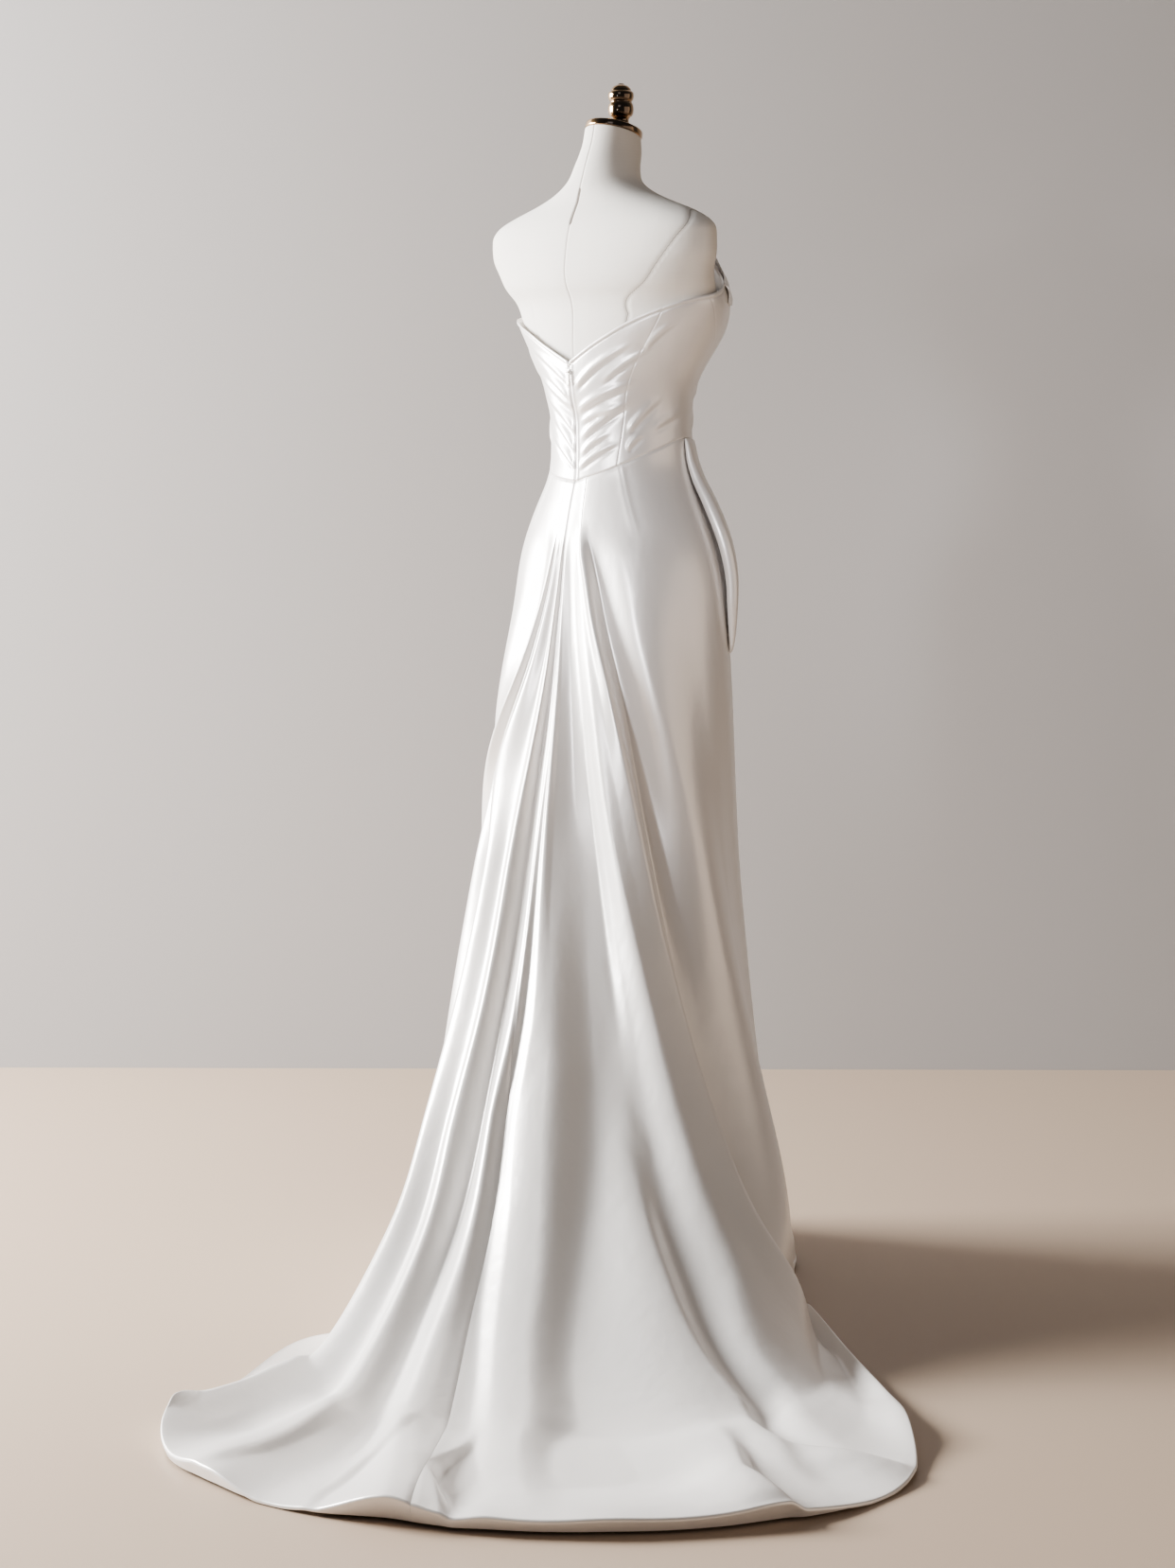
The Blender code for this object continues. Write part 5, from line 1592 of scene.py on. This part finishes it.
@dataclass
class Studio:
    """Floor, wall, lights and the camera at the photo's angle."""

    floor_size: float = 14.0
    floor_colour: Vec3 = (0.40, 0.30, 0.22)
    wall_size: Span = (12, 5)
    wall_distance: float = 1.33
    wall_middle: float = 2.5
    wall_colour: Vec3 = (0.36, 0.345, 0.34)
    camera_place: Vec3 = (-2.864, 3.072, 1.2)
    lens: float = 67.57
    pitch: float = 6.713
    yaw: float = 0.631
    bearing: float = 43.0
    spot_edge: float = 0.25
    room_colour: Vec3 = (0.80, 0.79, 0.80)
    room_light: float = 0.09

    def build(self) -> None:
        """Builds the whole studio."""
        self.build_floor()
        self.build_camera()
        for lamp in LAMPS:
            self.hang(lamp)
        world = bpy.data.worlds.new("pale_room")
        world.use_nodes = True
        sky = world.node_tree.nodes["Background"]
        NodeKit(world.node_tree).dress(sky, Color=(*self.room_colour, 1), Strength=self.room_light)
        bpy.context.scene.world = world

    def ahead(self) -> Vector:
        """The level direction from the camera's side to the wall."""
        bearing = math.radians(self.bearing)
        return Vector((math.sin(bearing), -math.cos(bearing), 0))

    def build_floor(self) -> None:
        """Adds the floor and the wall behind."""
        deselect()
        bpy.ops.mesh.primitive_plane_add(size=self.floor_size)
        floor = bpy.context.active_object
        floor.name = "studio_floor"
        floor.data.materials.append(StudioPaint("floor_paint", self.floor_colour, 0.5).build())
        deselect()
        bpy.ops.mesh.primitive_plane_add(size=1)
        wall = bpy.context.active_object
        wall.name = "studio_wall"
        place = Matrix.Translation(self.ahead() * self.wall_distance + Vector((0, 0, self.wall_middle)))
        face = (-self.ahead()).to_track_quat("Z", "Y").to_matrix().to_4x4()
        wall.data.transform(place @ face @ Matrix.Diagonal((*self.wall_size, 1, 1)))
        wall.data.materials.append(StudioPaint("wall_paint", self.wall_colour, 0.9).build(one_way=True))

    def build_camera(self) -> None:
        """Adds the camera."""
        data = bpy.data.cameras.new("photo_camera")
        data.lens = self.lens
        data.sensor_fit = "AUTO"
        data.sensor_width = 36
        yaw, pitch = math.radians(self.yaw), math.radians(self.pitch)
        ahead = self.ahead()
        right = Vector((ahead.y, -ahead.x, 0))
        level = ahead * math.cos(yaw) - right * math.sin(yaw)
        look = Vector((level.x * math.cos(pitch), level.y * math.cos(pitch), -math.sin(pitch)))
        bpy.context.scene.camera = self.aimed(data, self.camera_place, look)

    def hang(self, lamp: Lamp) -> None:
        """Adds one soft-edged light that faces its point.

        Args:
            lamp: The light's row in LAMPS.
        """
        data = bpy.data.lights.new(lamp.name, lamp.kind.value)
        if lamp.kind is LampKind.SPOT:
            data.spot_size = math.radians(lamp.size)
            data.spot_blend = 1.0
            data.shadow_soft_size = self.spot_edge
        else:
            data.shape = "SQUARE"
            data.size = lamp.size
        data.energy = lamp.power
        data.color = lamp.colour
        self.aimed(data, lamp.place, Vector(lamp.aim) - Vector(lamp.place))

    def aimed(self, data: bpy.types.ID, place: Vec3, look: Vector) -> Object:
        """Adds a camera or a light that looks along a direction.

        Args:
            data: The camera or light, whose name the object takes.
            place: Where it stands.
            look: The direction.

        Returns:
            The new object.
        """
        obj = bpy.data.objects.new(data.name, data)
        bpy.context.scene.collection.objects.link(obj)
        obj.location = place
        obj.rotation_mode = "QUATERNION"
        obj.rotation_quaternion = look.to_track_quat("-Z", "Y")
        return obj


class NodeKit:
    """Adds, sets and links nodes of one tree, with fewer words."""

    def __init__(self, tree: Tree) -> None:
        """Keeps the tree whose nodes are added."""
        self.tree = tree

    def feed(self, target: Socket, value: Socket | float | tuple) -> None:
        """Links a socket to an input, or sets the input's value.

        Args:
            target: The input.
            value: The socket or the value.
        """
        if isinstance(value, Socket):
            self.tree.links.new(value, target)
        else:
            target.default_value = value

    def dress(self, node: bpy.types.Node, **settings: Socket | float | str | tuple) -> bpy.types.Node:
        """Sets a node's attributes and feeds its inputs.

        Args:
            node: The node.
            settings: Attributes in lower case; inputs with a capital first, and _ for a space.

        Returns:
            The same node.
        """
        for name, value in settings.items():
            if name[0].islower():
                setattr(node, name, value)
            else:
                self.feed(node.inputs[name.replace("_", " ")], value)
        return node

    def add(self, kind: str, **settings: Socket | float | str | tuple) -> bpy.types.Node:
        """Adds a node of a kind, named without its ShaderNode prefix, and dresses it."""
        return self.dress(self.tree.nodes.new("ShaderNode" + kind), **settings)

    def math(self, operation: str, *values: Socket | float) -> Socket:
        """Adds a math node on sockets or numbers.

        Args:
            operation: The node's operation.
            values: Its inputs in order.

        Returns:
            The node's output.
        """
        node = self.add("Math", operation=operation)
        for socket, value in zip(node.inputs, values):
            self.feed(socket, value)
        return node.outputs[0]

    def mix(self, mask: Socket, low: Socket | Vec3, high: Socket | Vec3) -> Socket:
        """Adds a colour mix: a mask of 0 gives the first colour and 1 the second."""
        low, high = (c if isinstance(c, Socket) else (*c, 1) for c in (low, high))
        return self.add("Mix", data_type="RGBA", Factor=mask, A=low, B=high).outputs["Result"]

    def span(self, value: Socket, ends: Span, reach: Span = (0.0, 1.0), kind: str = "LINEAR") -> Socket:
        """Maps a value from a reach to two ends.

        Args:
            value: The value.
            ends: What the ends of the reach become.
            reach: The value's reach.
            kind: The interpolation between them.

        Returns:
            The mapped value.
        """
        node = self.add("MapRange", interpolation_type=kind, Value=value)
        self.dress(node, From_Min=reach[0], From_Max=reach[1], To_Min=ends[0], To_Max=ends[1])
        return node.outputs["Result"]

    def noise(self, vector: Socket, scale: Socket | float, detail: float) -> Socket:
        """Adds a noise texture and returns its mask."""
        return self.add("TexNoise", Scale=scale, Detail=detail, Vector=vector).outputs["Fac"]

    def stretched(self, vector: Socket, scale: Vec3) -> Socket:
        """Scales a vector by a different amount on each axis."""
        return self.add("Mapping", Scale=scale, Vector=vector).outputs["Vector"]

    def bump(self, *heights: tuple[Socket, float]) -> Socket:
        """Chains bumps into one normal.

        Args:
            heights: Masks with their depths in metres.

        Returns:
            The normal.
        """
        normal = {}
        for height, depth in heights:
            node = self.add("Bump", Strength=1.0, Distance=depth, Height=height, **normal)
            normal = {"Normal": node.outputs["Normal"]}
        return normal["Normal"]


def new_material(name: str) -> tuple[Material, NodeKit, bpy.types.Node]:
    """A new material with nodes.

    Args:
        name: Its name.

    Returns:
        The material, its kit and its Principled node.
    """
    mat = bpy.data.materials.new(name)
    mat.use_nodes = True
    return mat, NodeKit(mat.node_tree), mat.node_tree.nodes["Principled BSDF"]


@dataclass
class EffectGroups:
    """Shader node groups that more than one material uses."""

    warp_streaks: Vec3 = (900, 14, 1)
    weft_streaks: Vec3 = (11, 700, 1)
    scratch_stretch: Vec3 = (1.0, 0.25, 0.08)
    pucker_stretch: Vec3 = (1.0, 1.0, 0.45)

    def new(
        self, name: str, place: str, inputs: dict[str, float], outputs: tuple[str, ...]
    ) -> tuple[NodeKit, dict[str, Socket], bpy.types.Node]:
        """An empty group with its named sockets.

        Args:
            name: The group's name.
            place: Name of the vector input.
            inputs: Default of each value input.
            outputs: Names of the value outputs.

        Returns:
            The group's kit, its input sockets by name and its output node.
        """
        tree = bpy.data.node_groups.new(name, "ShaderNodeTree")
        tree.interface.new_socket(place, in_out="INPUT", socket_type="NodeSocketVector")
        for label, default in inputs.items():
            socket = tree.interface.new_socket(label, in_out="INPUT", socket_type="NodeSocketFloat")
            socket.default_value = default
        for label in outputs:
            tree.interface.new_socket(label, in_out="OUTPUT", socket_type="NodeSocketFloat")
        source = tree.nodes.new("NodeGroupInput")
        return NodeKit(tree), dict(source.outputs.items()), tree.nodes.new("NodeGroupOutput")

    def weave(self) -> Tree:
        """Threads of a cloth, with slubs along the warp and a slow change of shade.

        Returns:
            The group.
        """
        inputs = {"Thread Size": 0.0004, "Twill Lean": 0.0, "Slub Amount": 0.5}
        kit, given, wanted = self.new("woven_threads", "Cloth", inputs, ("Height", "Shade", "Slub"))
        cloth = given["Cloth"]
        parts = kit.add("SeparateXYZ", Vector=cloth).outputs
        turn = kit.math("DIVIDE", 2 * math.pi, given["Thread Size"])
        leaning = kit.math("MULTIPLY_ADD", parts["Y"], given["Twill Lean"], parts["X"])
        warp = kit.math("SINE", kit.math("MULTIPLY", leaning, turn))
        weft = kit.math("SINE", kit.math("MULTIPLY", parts["Y"], turn))
        threads = kit.math("MULTIPLY_ADD", kit.math("MULTIPLY", warp, weft), 0.25, 0.5)
        streak = kit.noise(kit.stretched(cloth, self.warp_streaks), 1.0, 1.0)
        cross = kit.noise(kit.stretched(cloth, self.weft_streaks), 1.0, 1.0)
        slub = kit.math("MULTIPLY", kit.math("MULTIPLY", streak, cross), given["Slub Amount"])
        kit.dress(wanted, Height=kit.math("ADD", threads, slub), Slub=slub, Shade=kit.noise(cloth, 5.0, 3.0))
        return kit.tree

    def handling(self) -> Tree:
        """Marks of handling: soft dents or puckers, a patchy dulling and fine scratches.

        Returns:
            The group.
        """
        inputs = {"Patch Size": 0.05, "Scratch Size": 0.002}
        kit, given, wanted = self.new("handling_marks", "Place", inputs, ("Patch", "Scratch", "Pucker"))
        place, patch = given["Place"], given["Patch Size"]
        scratches = kit.stretched(place, self.scratch_stretch)
        puckers = kit.stretched(place, self.pucker_stretch)
        kit.dress(
            wanted,
            Patch=kit.noise(place, kit.math("DIVIDE", 1.0, patch), 3.0),
            Scratch=kit.noise(scratches, kit.math("DIVIDE", 1.0, given["Scratch Size"]), 1.0),
            Pucker=kit.noise(puckers, kit.math("DIVIDE", 2.0, patch), 2.0),
        )
        return kit.tree


@dataclass(frozen=True)
class StudioPaint:
    """Soft painted wall or floor with a faint mottle."""

    name: str
    colour: Vec3
    roughness: float

    def build(self, one_way: bool = False) -> Material:
        """Builds the material.

        Args:
            one_way: Whether it shows on the front only, so that views from behind see past it.

        Returns:
            The material.
        """
        mat, kit, shader = new_material(self.name)
        mottle = kit.noise(kit.add("TexCoord").outputs["Object"], 1.3, 2.0)
        shade = tuple(0.97 * c for c in self.colour)
        kit.dress(shader, Base_Color=kit.mix(mottle, shade, self.colour), Roughness=self.roughness)
        if one_way:
            mix = kit.add("MixShader", Fac=kit.add("NewGeometry").outputs["Backfacing"])
            kit.feed(mix.inputs[1], shader.outputs["BSDF"])
            kit.feed(mix.inputs[2], kit.add("BsdfTransparent").outputs["BSDF"])
            kit.dress(mat.node_tree.nodes["Material Output"], Surface=mix.outputs["Shader"])
        return mat


@dataclass(frozen=True)
class ClothFinish:
    """A woven cloth: its shades, gloss, threads, and the puckers of sewing and wear."""

    name: str
    light: Vec3
    dark: Vec3
    gloss: Span
    thread: float
    lean: float
    slub: float
    thread_depth: float
    pucker_size: float
    pucker_depth: float
    metallic: float = 0.0
    sheen: float = 0.1
    own_map: bool = True

    def build(self, weave: Tree, handling: Tree) -> Material:
        """Builds the material.

        Args:
            weave: The group of woven threads.
            handling: The group of handling marks.

        Returns:
            The material.
        """
        mat, kit, shader = new_material(self.name)
        place = kit.add("TexCoord").outputs["Object"]
        cloth = kit.add("UVMap", uv_map="cloth").outputs["UV"] if self.own_map else place
        threads = kit.add("Group", node_tree=weave, Thread_Size=self.thread, Twill_Lean=self.lean)
        threads = kit.dress(threads, Slub_Amount=self.slub, Cloth=cloth).outputs
        marks = kit.add("Group", node_tree=handling, Patch_Size=self.pucker_size, Place=place).outputs
        shade = kit.math("ADD", threads["Shade"], threads["Slub"])
        relief = ((marks["Pucker"], self.pucker_depth), (threads["Height"], self.thread_depth))
        kit.dress(
            shader,
            Base_Color=kit.mix(shade, self.dark, self.light),
            Roughness=kit.span(marks["Patch"], self.gloss),
            Metallic=self.metallic,
            Sheen_Weight=self.sheen,
            Sheen_Roughness=0.4,
            Normal=kit.bump(*relief),
        )
        return mat


@dataclass(frozen=True)
class FormCover(ClothFinish):
    """The form's linen, with its seam lines drawn in the thread's darker tone, and the nape slit painted dark
    as shade inside the gap.
    """

    # Thread colour of the seam lines, also painted into the nape slit as its shade
    line: Vec3 = (0.30, 0.26, 0.23)
    line_wide: float = 0.7 * MM
    line_core: float = 0.3
    back_strength: float = 0.55
    # Width of the nape slit's painted shade
    slit_shade_wide: float = 2.2 * MM
    ring_strength: float = 0.8
    ring_wide: float = 0.8
    ring_from: float = 0.06

    def build(self, weave: Tree, handling: Tree) -> Material:
        """Builds the plain cloth, then mixes in the centre back and armhole lines and the slit's painted
        shade.

        Args:
            weave: The group of woven threads.
            handling: The group of handling marks.

        Returns:
            The material.
        """
        mat = super().build(weave, handling)
        kit = NodeKit(mat.node_tree)
        shader = mat.node_tree.nodes["Principled BSDF"]
        form = DressForm()
        place = kit.add("TexCoord").outputs["Object"]
        x, y, z = kit.add("SeparateXYZ", Vector=place).outputs
        away = kit.math("ABSOLUTE", x)
        low = kit.math("GREATER_THAN", z, form.slit_ends[0])
        high = kit.math("LESS_THAN", z, form.slit_ends[1])
        thin = kit.math("MULTIPLY", self.drawn(kit, away, self.line_wide), self.back_strength)
        thin = kit.math("MULTIPLY", thin, high)
        # Painted shade: the nape slit gets the dark line colour, standing in for the shadow inside the gap
        slit = kit.math("MULTIPLY", kit.math("MULTIPLY", low, high), self.drawn(kit, away, self.slit_shade_wide))
        middle = kit.math("MULTIPLY", kit.math("MAXIMUM", thin, slit), kit.math("GREATER_THAN", y, 0.0))
        across = kit.math("DIVIDE", kit.math("SUBTRACT", y, form.disc_y), form.disc_wide)
        up = kit.math("DIVIDE", kit.math("SUBTRACT", z, form.disc_z), form.disc_tall)
        up = kit.math("MAXIMUM", up, form.disc_low)
        square = kit.math("ADD", kit.math("MULTIPLY", across, across), kit.math("MULTIPLY", up, up))
        off = kit.math("ABSOLUTE", kit.math("SUBTRACT", kit.math("SQRT", square), 1.0))
        ring = self.drawn(kit, off, self.line_wide / form.disc_wide * self.ring_wide)
        ring = kit.math("MULTIPLY", ring, kit.math("GREATER_THAN", away, self.ring_from))
        mask = kit.math("MAXIMUM", middle, kit.math("MULTIPLY", ring, self.ring_strength))
        cloth = shader.inputs["Base Color"].links[0].from_socket
        kit.dress(shader, Base_Color=kit.mix(mask, cloth, self.line))
        return mat

    def drawn(self, kit: NodeKit, away: Socket, wide: float) -> Socket:
        """A mask that is 1 on a line and falls to 0 at its edges."""
        return kit.span(away, (1.0, 0.0), (self.line_core * wide, wide), "SMOOTHSTEP")


@dataclass(frozen=True)
class HardFinish:
    """A metal or coated surface, dulled in patches and finely scratched, with an optional painted dark
    reflection where it faces the eye.
    """

    name: str
    light: Vec3
    dark: Vec3
    gloss: Span
    metallic: float
    patch_size: float
    scratch_size: float
    scratch_depth: float
    coat: float = 0.0
    # Depth, tone and reach of the painted dark reflection, a darkening of the colour where the surface faces
    # the eye
    painted_reflection: float = 0.0
    painted_reflection_tone: Vec3 = (0.02, 0.013, 0.011)
    painted_reflection_reach: Span = (0.12, 0.50)
    scratch_dulling: float = 0.3
    patch_dulling: float = 0.7

    def build(self, handling: Tree) -> Material:
        """Builds the material; a painted dark reflection darkens the colour where the surface faces the eye.

        Args:
            handling: The group of handling marks.

        Returns:
            The material.
        """
        mat, kit, shader = new_material(self.name)
        place = kit.add("TexCoord").outputs["Object"]
        marks = kit.add("Group", node_tree=handling, Patch_Size=self.patch_size)
        marks = kit.dress(marks, Scratch_Size=self.scratch_size, Place=place).outputs
        tone = kit.mix(marks["Patch"], self.dark, self.light)
        # Painted reflection: the colour turns near black where the surface faces the eye, standing in for the
        # dark room that polished metal reflects
        if self.painted_reflection:
            painted_reflection_mask = kit.add("LayerWeight").outputs["Facing"]
            painted_reflection_mask = kit.span(painted_reflection_mask, (self.painted_reflection, 0.0), self.painted_reflection_reach, "SMOOTHSTEP")
            tone = kit.mix(painted_reflection_mask, tone, self.painted_reflection_tone)
        dull = kit.math("MULTIPLY", marks["Patch"], self.patch_dulling)
        dull = kit.math("MULTIPLY_ADD", marks["Scratch"], self.scratch_dulling, dull)
        kit.dress(
            shader,
            Base_Color=tone,
            Roughness=kit.span(dull, self.gloss),
            Metallic=self.metallic,
            Coat_Weight=self.coat,
            Normal=kit.bump((marks["Scratch"], self.scratch_depth)),
        )
        return mat


CLOTH_FINISHES = {
    "satin": ClothFinish(
        name="ivory_satin",
        light=(0.88, 0.855, 0.83),
        dark=(0.82, 0.795, 0.775),
        gloss=(0.29, 0.38),
        thread=0.00035,
        lean=0.4,
        slub=0.35,
        thread_depth=0.000004,
        pucker_size=0.05,
        pucker_depth=0.0007,
        metallic=0.34,
        sheen=0.08,
    ),
    "linen": FormCover(
        name="form_linen",
        light=(0.80, 0.77, 0.72),
        dark=(0.71, 0.675, 0.625),
        gloss=(0.78, 0.92),
        thread=0.0011,
        lean=0.0,
        slub=0.9,
        thread_depth=0.00016,
        pucker_size=0.09,
        pucker_depth=0.0005,
    ),
    "tape": ClothFinish(
        name="zip_tape_cloth",
        light=(0.83, 0.80, 0.76),
        dark=(0.74, 0.71, 0.67),
        gloss=(0.62, 0.74),
        thread=0.0007,
        lean=1.0,
        slub=0.2,
        thread_depth=0.0001,
        pucker_size=0.03,
        pucker_depth=0.0001,
        own_map=False,
    ),
}
HARD_FINISHES = {
    "brass": HardFinish(
        name="polished_brass",
        light=(0.66, 0.44, 0.20),
        dark=(0.34, 0.18, 0.08),
        gloss=(0.09, 0.20),
        metallic=1.0,
        patch_size=0.03,
        scratch_size=0.0012,
        scratch_depth=0.000004,
        coat=1.0,
        # Painted dark reflection in the middle of each face, gold only towards the edges
        painted_reflection=0.9,
    ),
    "zip_metal": HardFinish(
        name="lacquered_zinc",
        light=(0.86, 0.84, 0.80),
        dark=(0.72, 0.70, 0.66),
        gloss=(0.22, 0.38),
        metallic=0.55,
        patch_size=0.006,
        scratch_size=0.0005,
        scratch_depth=0.000004,
        coat=0.4,
    ),
    "wire": HardFinish(
        name="plated_wire",
        light=(0.76, 0.74, 0.72),
        dark=(0.55, 0.53, 0.52),
        gloss=(0.18, 0.34),
        metallic=1.0,
        patch_size=0.005,
        scratch_size=0.0004,
        scratch_depth=0.000003,
    ),
    "stand_metal": HardFinish(
        name="powder_coat",
        light=(0.64, 0.63, 0.61),
        dark=(0.54, 0.53, 0.51),
        gloss=(0.42, 0.58),
        metallic=0.0,
        patch_size=0.05,
        scratch_size=0.0010,
        scratch_depth=0.00004,
    ),
}
# The carried-over CAD nodes and their slots
NODE_SLOTS = {
    "zip_tape": "tape",
    "zip_slider": "zip_metal",
    "zip_pull": "zip_metal",
    "eye_loop": "wire",
    "hook_bill": "wire",
    "stand_pole": "stand_metal",
    "stand_base": "stand_metal",
}


def dress_nodes(frame: dict, finishes: dict[str, Material]) -> None:
    """Gives the carried-over CAD nodes their materials, chosen by slot.

    Args:
        finishes: Material for each slot.
    """
    for node, slot in NODE_SLOTS.items():
        obj = frame["nodes"][node]
        obj.data.materials.clear()
        obj.data.materials.append(finishes[slot])


def main() -> None:
    """Builds every piece in order."""
    logging.basicConfig(level=logging.INFO, format="%(name)s: %(message)s")
    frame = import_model()
    groups = EffectGroups()
    weave, handling = groups.weave(), groups.handling()
    finishes = {slot: finish.build(handling) for slot, finish in HARD_FINISHES.items()}
    for slot, finish in CLOTH_FINISHES.items():
        finishes[slot] = finish.build(weave, handling)
    Skirt().build(finishes["satin"])
    Bodice().build(finishes["satin"])
    for hand in Hand:
        Cuff(hand).build(finishes["satin"])
        HipDrape(hand).build(finishes["satin"])
    DressForm().build(finishes["linen"])
    NeckTop().build_cap(finishes["brass"])
    NeckTop().build_finial(finishes["brass"])
    dress_nodes(frame, finishes)
    Studio().build()


if __name__ == "__main__":
    main()
